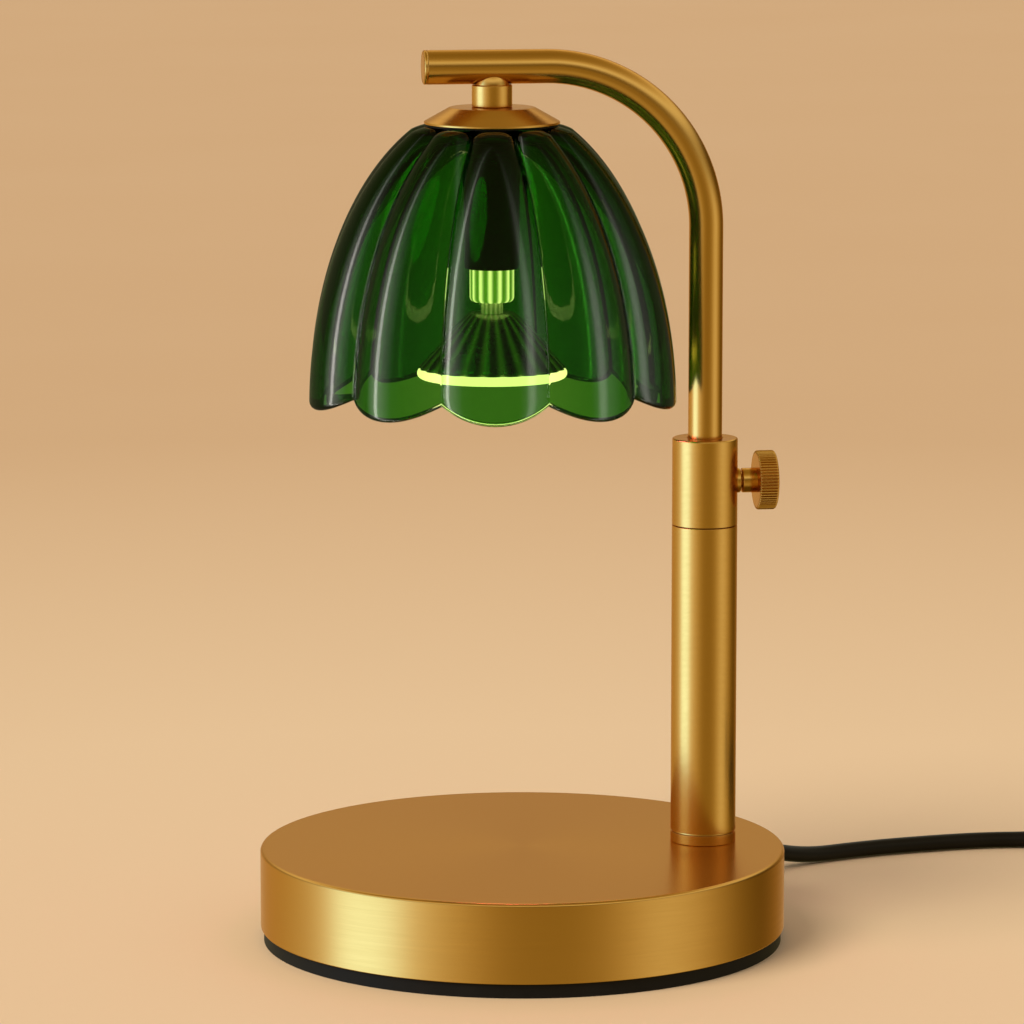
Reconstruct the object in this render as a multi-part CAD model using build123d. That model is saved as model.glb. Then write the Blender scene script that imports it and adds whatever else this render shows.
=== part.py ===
from build123d import *
import math
import os

# Candle warmer lamp. Millimetres, +Z up, origin at the centre of the base on the surface it stands on.
# The pole stands on +X and the arm reaches back over the base towards -X.

# ---- Driving dimensions -------------------------------------------------------------------------

# Clearances
thread_gap = 0.02  # radial, between a thread's major diameter and its nut
running_gap = 0.06  # radial, between a turning or sliding piece and its bearing
seat_gap = 0.1  # between faces of pieces that move past each other
hole_gap = 0.25  # radial, round a screw or lead that passes through

# Base
base_diameter = 170.0
pad_height = 4.5
pad_inset = 1.0
shell_height = 25.7
shell_wall = 1.6
shell_top = 2.0
shell_edge_radius = 1.1
plate_thickness = 1.2
plate_gap = 0.3
ballast_height = 8.0
ballast_gap = 5.4
boss_diameter = 12.0
boss_inset = 23.0  # from the base's rim to a boss's axis
boss_first_angle = 96.8
boss_count = 3
base_screw_diameter = 4.0
base_screw_length = 10.0
base_screw_head_diameter = 7.6
base_screw_head_height = 2.4
pad_hole_diameter = 9.2

# Pole
pole_inset = 25.5  # from the base's rim to the pole's axis
pole_diameter = 21.2
pole_wall = 1.2
foot_ring_height = 3.9
foot_ring_edge = 0.4
foot_spigot_length = 8.0
stud_diameter = 10.0
stud_bore = 7.0
stud_nut_across_flats = 17.0
stud_nut_height = 5.0
stud_washer_diameter = 24.0
stud_washer_thickness = 1.5
stud_tail = 1.0
stud_top_gap = 2.0
pole_tube_length = 100.2

# Collar
collar_height = 28.5
collar_spigot_length = 12.0
collar_lip_height = 3.0
collar_lip_gap = 0.2
collar_edge_radius = 0.6
split_groove_height = 0.4
split_groove_depth = 0.4
bush_wall = 1.7
boss_reach = 11.5

# Thumbscrew
screw_diameter = 5.0
screw_shoulder_diameter = 8.0
screw_shoulder_gap = 0.45
knob_diameter = 19.2
knob_thickness = 6.2
knob_inner_face = 16.7
knob_groove_count = 60
knob_groove_radius = 0.32
knob_edge_radius = 0.9
knob_hub_length = 4.5
clamp_pad_length = 2.8

# Arm
arm_diameter = 11.0
arm_wall = 1.0
arm_rise = 120.2
arm_bend_radius = 52.0
arm_reach = 91.4
arm_insert = 102.2
end_cap_thickness = 1.2
end_cap_edge = 0.35
end_cap_plug_length = 4.0
guide_plug_height = 10.0
clip_diameter = 14.0
clip_thickness = 1.0
ferrule_diameter = 13.0
ferrule_flange = 1.5
ferrule_spigot_length = 6.0
ferrule_bore = 6.0

# Neck
shade_reach = 69.3
nipple_diameter = 8.0
nipple_bore = 5.0
nipple_top_into_arm = 1.6
saddle_diameter = 11.0
saddle_crown = 9.2
sleeve_diameter = 12.9
sleeve_height = 7.1
sleeve_edge = 0.3

# Shade cap
cap_diameter = 43.4
cap_flat_diameter = 27.4
cap_cone_drop = 4.5
cap_rim_height = 0.9
cap_wall = 1.0
gasket_thickness = 0.5
gasket_width = 3.4
gasket_inset = 0.6

# Glass shade
shade_lobes = 10
shade_turn = -96.9
shade_crest_radius = 60.3
shade_groove_radius = 55.0
shade_crest_rise = 97.0
shade_groove_rise = 93.5
shade_height = 88.6
shade_wall = 3.0
shade_lobe_ratio = 1.2  # how round a lobe may get: its slope at the groove
shade_scallop = 5.3
shade_hole_diameter = 11.0
shade_sections = 11

# Lamp holder
cover_diameter = 17.5
cover_length = 42.0
cover_wall = 0.9
cover_top = 1.2
cover_washer_thickness = 0.8
cover_nut_across_flats = 12.0
cover_nut_height = 4.0
carrier_diameter = 15.2
carrier_thickness = 1.2
carrier_drop = 9.4
socket_length = 21.0
socket_screw_diameter = 2.5
socket_screw_length = 5.0
socket_screw_head_diameter = 3.2
socket_screw_head_height = 1.0
socket_screw_spacing = 11.7
pin_spacing = 10.0
pin_hole_diameter = 5.4
pin_hole_depth = 11.0

# Lamp
lamp_base_length = 21.1
lamp_base_core = 12.6
lamp_rib_count = 14
lamp_rib_radius = 0.85
lamp_base_taper = 1.6
pin_diameter = 2.6
pin_head_diameter = 4.8
pin_head_length = 2.6
pin_length = 7.0
neck_diameter = 7.0
neck_length = 3.6
reflector_top_diameter = 14.8
reflector_diameter = 49.2
reflector_height = 17.5
reflector_wall = 1.0
reflector_flutes = 24
reflector_flute_depth = 0.5
ring_diameter = 50.0
ring_width = 2.6
ring_height = 3.1
lens_thickness = 1.4
lens_inset = 1.0
lens_dome = 2.4
capsule_diameter = 9.0
capsule_length = 14.0

# Wiring inside the object
lead_diameter = 3.0
lead_height = 8.9
lead_overlap_gap = 18.0
core_diameter = 2.0
core_spacing = 4.4
core_tail = 3.0
terminal_length = 14.0
terminal_width = 12.0
terminal_past_middle = 3.18723  # beyond the middle of the room between the cord's end and the stud washer
lead_bend_radius = 4.0
clamp_block_length = 9.0
clamp_block_width = 22.0
clamp_screw_diameter = 3.0
clamp_screw_spacing = 15.0
clamp_screw_grip = 4.0
clamp_screw_head_diameter = 5.6
clamp_screw_head_height = 2.0
clamp_block_floor = 2.4
clamp_from_wall = 12.0

# Cord and what is on it
cord_diameter = 5.6
cord_exit_angle = 41.8
cord_exit_height = 11.5
cord_inner_length = 28.0
relief_flange_diameter = 10.4
relief_flange_thickness = 1.5
relief_neck_diameter = 8.6
relief_tail_length = 21.0
relief_tail_diameter = 6.8
relief_wall_gap = 0.2
cord_joint_in_tail = 9.5  # how deep in the strain relief's tail the free cord begins
cord_first_run = 18.0
cord_straight_end = 12.0  # straight run before a fitting
dimmer_length = 52.0
dimmer_width = 30.0
dimmer_height = 17.0
dimmer_split_height = 8.5
dimmer_wall = 1.6
dimmer_corner_radius = 9.0
dimmer_edge_radius = 2.0
dimmer_start_x = 232.0
dimmer_y = 105.0
dimmer_cord_height = 5.5
dimmer_relief_length = 8.0
dimmer_relief_diameter = 8.4
wheel_diameter = 24.0
wheel_thickness = 4.0
wheel_reach = 3.5
wheel_axle_diameter = 4.0
wheel_tooth_count = 36
wheel_tooth_radius = 0.5
board_thickness = 1.4
board_gap = 0.8
dimmer_screw_diameter = 2.5
dimmer_screw_head_diameter = 4.4
dimmer_screw_head_height = 1.6
dimmer_post_diameter = 5.6
coil_centre_x = 297.6
coil_centre_y = 40.0
coil_mean_radius = 32.0
coil_tracks = 4
coil_layers = 2
coil_edge_radius = 2.0
tie_width = 9.0
tie_thickness = 0.8
tie_gap = 0.8
tie_angle = 180.0
plug_x = 332.0
plug_cord_y = -31.0
plug_length = 38.0
plug_width = 35.0
plug_height = 14.0
plug_back_width = 16.0
plug_relief_length = 17.0
plug_pin_diameter = 4.0
plug_pin_length = 19.0
plug_pin_spacing = 19.0

# The free cord's routes, as x, y, z of the points that its straight runs join
cord_floor = cord_diameter / 2
cord_exit_reach = base_diameter / 2 + relief_flange_thickness + relief_tail_length
cord_exit_direction = math.radians(cord_exit_angle)
dimmer_entry_x = dimmer_start_x - dimmer_relief_length
dimmer_end_x = dimmer_start_x + dimmer_length
dimmer_exit_x = dimmer_end_x + dimmer_relief_length
cord_start_reach = cord_exit_reach - cord_joint_in_tail
cord_clear_reach = cord_start_reach + cord_first_run
power_cord_route = [
    (
        cord_start_reach * math.cos(cord_exit_direction),
        cord_start_reach * math.sin(cord_exit_direction),
        cord_exit_height,
    ),
    (
        cord_clear_reach * math.cos(cord_exit_direction),
        cord_clear_reach * math.sin(cord_exit_direction),
        cord_exit_height,
    ),
    (109.0, 91.4, cord_floor),
    (134.0, 101.2, cord_floor),
    (158.0, 106.6, cord_floor),
    (180.0, 109.2, cord_floor),
    (197.0, 107.2, cord_floor),
    (dimmer_entry_x - cord_straight_end, dimmer_y, dimmer_cord_height),
    (dimmer_entry_x, dimmer_y, dimmer_cord_height),
]
coil_lead_route = [
    (dimmer_exit_x, dimmer_y, dimmer_cord_height),
    (dimmer_exit_x + cord_straight_end, dimmer_y, dimmer_cord_height),
    (318.7, 101.9, cord_floor),
    (330.8, 93.1, cord_floor),
    (338.3, 80.1, cord_floor),
    (339.9, 65.2, cord_floor),
    (338.1, 50.7, cord_floor),
]
plug_lead_route = [
    (337.6, 36.0, 8.4),
    (337.4, 22.0, 6.4),
    (336.0, 9.0, 3.2),
    (333.6, -4.5, 3.2),
    (plug_x, plug_cord_y + cord_straight_end, plug_height / 2),
    (plug_x, plug_cord_y, plug_height / 2),
]

# ---- Heights and places that follow from them ---------------------------------------------------

base_radius = base_diameter / 2
pole_offset = base_radius - pole_inset
base_top = pad_height + shell_height
plate_top = pad_height + plate_thickness
ballast_top = base_top - shell_top
ballast_bottom = ballast_top - ballast_height
ballast_radius = base_radius - shell_wall - ballast_gap
foot_top = base_top + foot_ring_height
pole_radius = pole_diameter / 2
pole_inner = pole_radius - pole_wall
tube_top = foot_top + pole_tube_length
collar_bottom = tube_top
collar_top = collar_bottom + collar_height
screw_height = (collar_bottom + collar_top) / 2
arm_radius = arm_diameter / 2
arm_inner = arm_radius - arm_wall
arm_height = collar_top + arm_rise
arm_bottom = collar_top - arm_insert
bush_inner = arm_radius + running_gap
bush_outer = bush_inner + bush_wall
bush_bottom = collar_bottom - collar_spigot_length
bush_top = collar_top - collar_lip_height
shade_x = pole_offset - shade_reach
arm_end_x = pole_offset - arm_reach
nipple_radius = nipple_diameter / 2
sleeve_top = arm_height - arm_radius - seat_gap
sleeve_bottom = sleeve_top - sleeve_height
cap_top = sleeve_bottom
cap_rim_top = cap_top - cap_cone_drop
cap_rim_bottom = cap_rim_top - cap_rim_height
shade_top = cap_rim_bottom - gasket_thickness
shade_bottom = shade_top - shade_height
shade_inner_top = shade_top - shade_wall
cover_high = shade_inner_top - cover_washer_thickness
cover_bottom = cover_high - cover_length
carrier_top = cover_high - carrier_drop
socket_top = carrier_top - carrier_thickness
socket_bottom = socket_top - socket_length
lamp_neck_top = socket_bottom - lamp_base_length
reflector_top = lamp_neck_top - neck_length
reflector_bottom = reflector_top - reflector_height
ring_bottom = reflector_bottom - ring_height
cord_radius = cord_diameter / 2


# ---- Shape helpers ------------------------------------------------------------------------------


def rod(radius, low, high, x=0.0, y=0.0):
    """Upright round bar between two heights."""
    return Pos(x, y, (low + high) / 2) * Cylinder(radius, high - low)


def pipe(radius, bore, low, high, x=0.0, y=0.0):
    """Upright round tube between two heights."""
    return rod(radius, low, high, x, y) - rod(bore, low - 1, high + 1, x, y)


def block(x_range, y_range, z_range):
    """Box between two corners."""
    size = [high - low for low, high in (x_range, y_range, z_range)]
    middle = [(low + high) / 2 for low, high in (x_range, y_range, z_range)]
    return Pos(*middle) * Box(*size)


def turned(points, x=0.0, y=0.0):
    """Solid of revolution about an upright axis from (radius, height) corners."""
    face = make_face(Polyline(*[(r, 0, z) for r, z in points], close=True))
    return Pos(x, y, 0) * revolve(face, Axis.Z)


def hexagon(across_flats, low, high, x=0.0, y=0.0):
    """Upright hexagonal prism."""
    outline = RegularPolygon(across_flats / 2, 6, major_radius=False)
    return Pos(x, y, low) * extrude(outline, high - low)


def along_x(radius, start, end, z, y=0.0):
    """Round bar along +X between two x values."""
    return Pos((start + end) / 2, y, z) * Rot(0, 90, 0) * Cylinder(radius, end - start)


def at_angle(shape, degrees):
    """A shape drawn along +X, turned about the base's axis."""
    return Rot(0, 0, degrees) * shape


def on_circle(count, radius, first=0.0, x=0.0, y=0.0):
    """Evenly spaced (x, y) places on a circle."""
    steps = [math.radians(first + 360 * k / count) for k in range(count)]
    return [(x + radius * math.cos(a), y + radius * math.sin(a)) for a in steps]


def swept(radius, points, radii):
    """Round bar along straight runs joined by tangent arcs."""
    path = FilletPolyline(*points, radius=radii) if len(points) > 2 else Line(*points)
    return sweep(path.location_at(0) * Circle(radius), path=path)


def route_radii(points):
    """Largest arc at each corner: 0.45 of the shorter run over the tangent of half the turn."""
    radii = []
    for a, b, c in zip(points, points[1:], points[2:]):
        before = Vector(*b) - Vector(*a)
        after = Vector(*c) - Vector(*b)
        turn = math.radians(before.get_angle(after))
        radii.append(0.45 * min(before.length, after.length) / math.tan(turn / 2))
    return radii


# ---- Base ---------------------------------------------------------------------------------------

boss_places = on_circle(boss_count, base_radius - boss_inset, boss_first_angle)


def foot_pad():
    pad = rod(base_radius - pad_inset, 0, pad_height)
    for x, y in boss_places:
        pad -= rod(pad_hole_diameter / 2, -1, pad_height + 1, x, y)
    return pad


def bottom_plate():
    plate = rod(base_radius - shell_wall - plate_gap, pad_height, plate_top)
    for x, y in boss_places:
        plate -= rod(base_screw_diameter / 2 + hole_gap, 0, plate_top + 1, x, y)
    return plate


def base_screws():
    screws = []
    for x, y in boss_places:
        head = rod(base_screw_head_diameter / 2, pad_height - base_screw_head_height, pad_height, x, y)
        screws.append(head + rod(base_screw_diameter / 2, pad_height, pad_height + base_screw_length, x, y))
    return Compound(children=screws)


def base_shell():
    shell = rod(base_radius, pad_height, base_top)
    shell = fillet(shell.edges().sort_by(Axis.Z)[-1], shell_edge_radius)
    shell -= rod(base_radius - shell_wall, pad_height - 1, base_top - shell_top)
    shell -= rod(stud_diameter / 2 + hole_gap, pad_height, base_top + 1, pole_offset)
    neck = along_x(relief_neck_diameter / 2 + thread_gap, 0, base_radius + 1, cord_exit_height)
    return shell - at_angle(neck & block((pole_radius, base_radius + 1), (-9, 9), (0, base_top)), cord_exit_angle)


def ballast_weight():
    weight = rod(ballast_radius, ballast_bottom, ballast_top)
    for x, y in boss_places:
        weight += rod(boss_diameter / 2, plate_top, ballast_bottom, x, y)
        weight -= rod(base_screw_diameter / 2 + thread_gap, 0, pad_height + base_screw_length + 1, x, y)
    for place in clamp_screw_places():
        weight -= rod(clamp_screw_diameter / 2 + thread_gap, 0, ballast_bottom + clamp_screw_grip + 1, *place)
    return weight - rod(stud_diameter / 2 + hole_gap, 0, base_top, pole_offset)


# ---- Pole ---------------------------------------------------------------------------------------

stud_nut_top = ballast_bottom - stud_washer_thickness
stud_nut_bottom = stud_nut_top - stud_nut_height
spigot_radius = pole_inner - running_gap


def pole_stud():
    top = foot_top + foot_spigot_length - stud_top_gap
    return pipe(stud_diameter / 2, stud_bore / 2, stud_nut_bottom - stud_tail, top, pole_offset)


def stud_nut():
    nut = hexagon(stud_nut_across_flats, stud_nut_bottom, stud_nut_top, pole_offset)
    return nut - rod(stud_diameter / 2 + thread_gap, 0, base_top, pole_offset)


def stud_washer():
    bore = stud_diameter / 2 + hole_gap
    return pipe(stud_washer_diameter / 2, bore, stud_nut_top, ballast_bottom, pole_offset)


def pole_foot():
    edge = foot_ring_edge
    profile = [
        (stud_diameter / 2 + thread_gap, base_top),
        (pole_radius, base_top),
        (pole_radius, foot_top - edge),
        (pole_radius - edge, foot_top - edge),
        (pole_radius - edge, foot_top),
        (spigot_radius, foot_top),
        (spigot_radius, foot_top + foot_spigot_length),
        (stud_diameter / 2 + thread_gap, foot_top + foot_spigot_length),
    ]
    return turned(profile, pole_offset)


def pole_tube():
    return pipe(pole_radius, pole_inner, foot_top, tube_top, pole_offset)


def clamp_collar():
    groove_top = collar_bottom + split_groove_height
    body = rod(pole_radius, groove_top, collar_top, pole_offset)
    body = fillet(body.edges().sort_by(Axis.Z)[-1], collar_edge_radius)
    body += rod(pole_radius - split_groove_depth, collar_bottom, groove_top, pole_offset)
    body += rod(spigot_radius, bush_bottom, collar_bottom, pole_offset)
    screw_boss = along_x(screw_shoulder_diameter / 2, 0, boss_reach, screw_height)
    screw_boss = fillet(screw_boss.edges().sort_by(Axis.X)[-1], collar_edge_radius)
    body += Pos(pole_offset, 0, 0) * screw_boss
    body -= rod(bush_outer + thread_gap, bush_bottom - 1, bush_top, pole_offset)
    body -= rod(arm_radius + collar_lip_gap, bush_bottom, collar_top + 1, pole_offset)
    return body - along_x(screw_diameter / 2 + running_gap, pole_offset, pole_offset + boss_reach + 1, screw_height)


def collar_bush():
    bush = pipe(bush_outer, bush_inner, bush_bottom, bush_top, pole_offset)
    return bush - along_x(screw_diameter / 2 + running_gap, pole_offset, pole_offset + pole_radius, screw_height)


# ---- Thumbscrew ---------------------------------------------------------------------------------

clamp_pad_inner = pole_offset + arm_radius + seat_gap
clamp_pad_outer = clamp_pad_inner + clamp_pad_length
shoulder_start = pole_offset + boss_reach + screw_shoulder_gap
knob_start = pole_offset + knob_inner_face
knob_end = knob_start + knob_thickness


def clamp_pad():
    pad = along_x(screw_diameter / 2 - running_gap, pole_offset, clamp_pad_outer, screw_height)
    return pad - rod(arm_radius + seat_gap, 0, arm_height, pole_offset)


def thumb_screw():
    shank = along_x(screw_diameter / 2, clamp_pad_outer + seat_gap / 2, knob_start + knob_hub_length, screw_height)
    return shank + along_x(screw_shoulder_diameter / 2, shoulder_start, knob_start, screw_height)


def thumb_knob():
    outline = Circle(knob_diameter / 2)
    for x, y in on_circle(knob_groove_count, knob_diameter / 2):
        outline -= Pos(x, y) * Circle(knob_groove_radius)
    knob = extrude(outline, knob_thickness)
    edge = knob_edge_radius
    inside = knob_diameter / 2 - edge
    barrel = make_face(
        Line((0, 0), (inside + edge / 2, 0))
        + Line((inside + edge / 2, 0), (knob_diameter / 2, edge / 2))
        + Line((knob_diameter / 2, edge / 2), (knob_diameter / 2, knob_thickness - edge))
        + RadiusArc((knob_diameter / 2, knob_thickness - edge), (inside, knob_thickness), -edge)
        + Line((inside, knob_thickness), (0, knob_thickness))
        + Line((0, knob_thickness), (0, 0))
    )
    knob &= Rot(90, 0, 0) * revolve(barrel, Axis.Y)
    knob -= Pos(0, 0, knob_hub_length / 2) * Cylinder(screw_diameter / 2 + thread_gap, knob_hub_length)
    return Pos(knob_start, 0, screw_height) * Rot(0, 90, 0) * knob


# ---- Arm ----------------------------------------------------------------------------------------

guide_plug_bottom = arm_bottom + seat_gap
guide_plug_top = guide_plug_bottom + guide_plug_height
arm_tube_end_x = arm_end_x + end_cap_thickness


def arm_line(end_x, bottom):
    """The arm's centre line from its horizontal end to its foot."""
    return [(end_x, 0, arm_height), (pole_offset, 0, arm_height), (pole_offset, 0, bottom)]


def arm_tube():
    line = arm_line(arm_tube_end_x, arm_bottom)
    tube = swept(arm_radius, line, arm_bend_radius) - swept(arm_inner, line, arm_bend_radius)
    return tube - rod(nipple_radius + thread_gap, sleeve_top - 1, arm_height, shade_x)


def arm_end_cap():
    disc = along_x(arm_radius, arm_end_x, arm_tube_end_x, arm_height)
    disc = chamfer(disc.edges().sort_by(Axis.X)[0], end_cap_edge)
    plug_end = arm_tube_end_x + end_cap_plug_length
    return disc + along_x(arm_inner - thread_gap, arm_tube_end_x, plug_end, arm_height)


def arm_guide_plug():
    bore = arm_radius + running_gap
    return pipe(pole_inner - running_gap, bore, guide_plug_bottom, guide_plug_top, pole_offset)


def arm_clip():
    low = guide_plug_top + seat_gap
    return pipe(clip_diameter / 2, arm_radius + thread_gap, low, low + clip_thickness, pole_offset)


def arm_ferrule():
    profile = [
        (ferrule_bore / 2, arm_bottom - ferrule_flange),
        (ferrule_diameter / 2, arm_bottom - ferrule_flange),
        (ferrule_diameter / 2, arm_bottom),
        (arm_inner - thread_gap, arm_bottom),
        (arm_inner - thread_gap, arm_bottom + ferrule_spigot_length),
        (ferrule_bore / 2, arm_bottom + ferrule_spigot_length),
    ]
    return turned(profile, pole_offset)


# ---- Neck and cap -------------------------------------------------------------------------------


def neck_nipple():
    top = arm_height - arm_inner + nipple_top_into_arm
    return pipe(nipple_radius, nipple_bore / 2, socket_top, top, shade_x)


def neck_saddle():
    wide = saddle_diameter / 2
    crown = saddle_crown / 2
    rise = arm_height - arm_radius / 2
    outline = make_face(
        Line((0, sleeve_top), (wide, sleeve_top))
        + Line((wide, sleeve_top), (wide, sleeve_top + seat_gap))
        + ThreePointArc(
            (wide, sleeve_top + seat_gap),
            ((wide * 2 + crown) / 3, (sleeve_top + rise) / 2),
            (crown, rise),
        )
        + Line((crown, rise), (0, rise))
        + Line((0, rise), (0, sleeve_top))
    )
    saddle = Pos(shade_x, 0, 0) * Rot(90, 0, 0) * revolve(outline, Axis.Y)
    saddle -= along_x(arm_radius + thread_gap, shade_x - wide - 1, shade_x + wide + 1, arm_height)
    return saddle - rod(nipple_radius + thread_gap, sleeve_top - 1, arm_height, shade_x)


def neck_sleeve():
    sleeve = rod(sleeve_diameter / 2, sleeve_bottom, sleeve_top, shade_x)
    sleeve = chamfer(sleeve.edges().group_by(Axis.Z)[-1] + sleeve.edges().group_by(Axis.Z)[0], sleeve_edge)
    return sleeve - rod(nipple_radius + thread_gap, 0, arm_height, shade_x)


def shade_cap():
    rim = cap_diameter / 2
    flat = cap_flat_diameter / 2
    profile = [
        (nipple_radius + hole_gap, cap_top),
        (flat, cap_top),
        (rim, cap_rim_top),
        (rim, cap_rim_bottom),
        (rim - cap_wall, cap_rim_bottom),
        (rim - cap_wall, cap_rim_top - cap_wall / 2),
        (flat - cap_wall / 2, cap_top - cap_wall),
        (nipple_radius + hole_gap, cap_top - cap_wall),
    ]
    return turned(profile, shade_x)


def shade_gasket():
    outer = cap_diameter / 2 - gasket_inset
    return pipe(outer, outer - gasket_width, shade_top, cap_rim_bottom, shade_x)


# ---- Glass shade --------------------------------------------------------------------------------

lobe_half = math.pi / shade_lobes


def bell(rim_radius, rise, height):
    """Radius on a quarter ellipse that stands on the rim."""
    return rim_radius * math.sqrt(1 - (height / rise) ** 2)


def lobed_section(inset, height):
    """Closed outline of round lobes at a height above the rim, drawn in from the outside by a wall."""
    groove = bell(shade_groove_radius - inset, shade_groove_rise - inset, height)
    fullest = groove * (math.cos(lobe_half) + shade_lobe_ratio * math.sin(lobe_half))
    crest = min(bell(shade_crest_radius - inset, shade_crest_rise - inset, height), fullest)
    arcs = []
    for k in range(shade_lobes):
        middle = math.radians(shade_turn) + 2 * lobe_half * k
        corners = [(groove, middle - lobe_half), (crest, middle), (groove, middle + lobe_half)]
        arcs.append(ThreePointArc(*[(r * math.cos(a), r * math.sin(a)) for r, a in corners]))
    return Pos(shade_x, 0, shade_bottom + height) * make_face(Wire(arcs))


def lobed_bell(inset, top, bottom=0.0):
    """Solid bell through lobed outlines that crowd towards the shoulder."""
    reach = math.asin(top / (shade_crest_rise - inset))
    steps = [k / (shade_sections - 1) for k in range(shade_sections)]
    heights = [top * math.sin(reach * t) / math.sin(reach) for t in steps]
    heights[0] = bottom
    return loft([lobed_section(inset, h) for h in heights])


def scallop_cutter():
    """What lies below the lobes' round lower ends."""
    half_chord = shade_groove_radius * math.sin(lobe_half)
    radius = (half_chord**2 + shade_scallop**2) / (2 * shade_scallop)
    outer = shade_crest_radius + 5
    cutter = rod(outer, shade_bottom - 2, shade_bottom + shade_scallop, shade_x)
    for k in range(shade_lobes):
        end = Pos(outer / 2 + 4, 0, 0) * Rot(0, 90, 0) * Cylinder(radius, outer)
        turn = shade_turn + 360 * k / shade_lobes
        cutter -= Pos(shade_x, 0, shade_bottom + radius) * Rot(0, 0, turn) * end
    return cutter


def glass_shade():
    shade = lobed_bell(0, shade_height) - lobed_bell(shade_wall, shade_height - shade_wall, -1.0)
    shade -= rod(shade_hole_diameter / 2, shade_bottom, shade_top + 1, shade_x)
    return shade - scallop_cutter()


# ---- Lamp holder --------------------------------------------------------------------------------


def cover_washer():
    return pipe(cover_diameter / 2, nipple_radius + hole_gap, cover_high, shade_inner_top, shade_x)


def holder_cover():
    cover = rod(cover_diameter / 2, cover_bottom, cover_high, shade_x)
    cover -= rod(cover_diameter / 2 - cover_wall, cover_bottom - 1, cover_high - cover_top, shade_x)
    return cover - rod(nipple_radius + hole_gap, 0, arm_height, shade_x)


def cover_nut():
    top = cover_high - cover_top
    nut = hexagon(cover_nut_across_flats, top - cover_nut_height, top, shade_x)
    return nut - rod(nipple_radius + thread_gap, 0, arm_height, shade_x)


def socket_screw_places():
    return on_circle(2, socket_screw_spacing / 2, 90, shade_x)


def socket_carrier():
    carrier = pipe(carrier_diameter / 2, nipple_radius + thread_gap, socket_top, carrier_top, shade_x)
    for x, y in socket_screw_places():
        carrier -= rod(socket_screw_diameter / 2 + thread_gap, 0, arm_height, x, y)
    return carrier


def socket_screws():
    screws = []
    for x, y in socket_screw_places():
        shank = rod(socket_screw_diameter / 2, carrier_top - socket_screw_length, carrier_top, x, y)
        head_top = carrier_top + socket_screw_head_height
        screws.append(shank + rod(socket_screw_head_diameter / 2, carrier_top, head_top, x, y))
    return Compound(children=screws)


def pin_places():
    return on_circle(2, pin_spacing / 2, 0, shade_x)


def lamp_socket():
    socket = rod(carrier_diameter / 2, socket_bottom, socket_top, shade_x)
    for x, y in pin_places():
        socket -= rod(pin_hole_diameter / 2, socket_bottom - 1, socket_bottom + pin_hole_depth, x, y)
    for x, y in socket_screw_places():
        socket -= rod(socket_screw_diameter / 2 + thread_gap, carrier_top - socket_screw_length, arm_height, x, y)
    return socket


# ---- Lamp ---------------------------------------------------------------------------------------


def lamp_base():
    core = Circle(lamp_base_core / 2)
    for x, y in on_circle(lamp_rib_count, lamp_base_core / 2):
        core += Pos(x, y) * Circle(lamp_rib_radius)
    bar = Pos(shade_x, 0, lamp_neck_top) * extrude(core, lamp_base_length)
    outer = lamp_base_core / 2 + lamp_rib_radius
    envelope = turned(
        [
            (0, lamp_neck_top),
            (outer - lamp_base_taper, lamp_neck_top),
            (outer + 1, lamp_neck_top + lamp_base_taper + 1),
            (outer + 1, socket_bottom),
            (0, socket_bottom),
        ],
        shade_x,
    )
    return bar & envelope


def lamp_pins():
    pins = []
    for x, y in pin_places():
        head_low = socket_bottom + pin_length - pin_head_length
        pin = rod(pin_diameter / 2, socket_bottom, head_low, x, y)
        pins.append(pin + rod(pin_head_diameter / 2, head_low, socket_bottom + pin_length, x, y))
    return Compound(children=pins)


def lamp_neck():
    return rod(neck_diameter / 2, reflector_top, lamp_neck_top, shade_x)


def reflector_outline(radius):
    """Fluted ring outline: shallow scallops round a circle."""
    flute = math.pi / reflector_flutes
    arcs = []
    for k in range(reflector_flutes):
        middle = 2 * flute * k
        inner = radius - reflector_flute_depth * radius / (reflector_diameter / 2)
        corners = [(radius, middle - flute), (inner, middle), (radius, middle + flute)]
        arcs.append(ThreePointArc(*[(r * math.cos(a), r * math.sin(a)) for r, a in corners]))
    return make_face(Wire(arcs))


def lamp_reflector():
    narrow = Pos(shade_x, 0, reflector_top) * reflector_outline(reflector_top_diameter / 2)
    wide = Pos(shade_x, 0, reflector_bottom) * reflector_outline(reflector_diameter / 2)
    shell = loft([wide, narrow])
    wall = reflector_wall + reflector_flute_depth
    hollow = turned(
        [
            (0, reflector_bottom),
            (reflector_diameter / 2 - wall, reflector_bottom),
            (reflector_top_diameter / 2 - wall / 2, reflector_top - wall),
            (0, reflector_top - wall),
        ],
        shade_x,
    )
    return shell - hollow


def lamp_ring():
    outer = ring_diameter / 2
    return pipe(outer, outer - ring_width, ring_bottom, reflector_bottom, shade_x)


def lamp_lens():
    radius = ring_diameter / 2 - ring_width - thread_gap
    low = ring_bottom + lens_inset
    top = low + lens_thickness
    sphere_radius = (radius**2 + lens_dome**2) / (2 * lens_dome)
    outline = make_face(
        Line((0, top), (radius, top))
        + Line((radius, top), (radius, low))
        + RadiusArc((radius, low), (0, low - lens_dome), sphere_radius)
        + Line((0, low - lens_dome), (0, top))
    )
    return Pos(shade_x, 0, 0) * Rot(90, 0, 0) * revolve(outline, Axis.Y)


def lamp_capsule():
    top = reflector_top - reflector_wall - reflector_flute_depth
    bulb = rod(capsule_diameter / 2, top - capsule_length, top, shade_x)
    return fillet(bulb.edges().sort_by(Axis.Z)[0], capsule_diameter / 4)


# ---- Wiring inside the object -------------------------------------------------------------------

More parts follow.
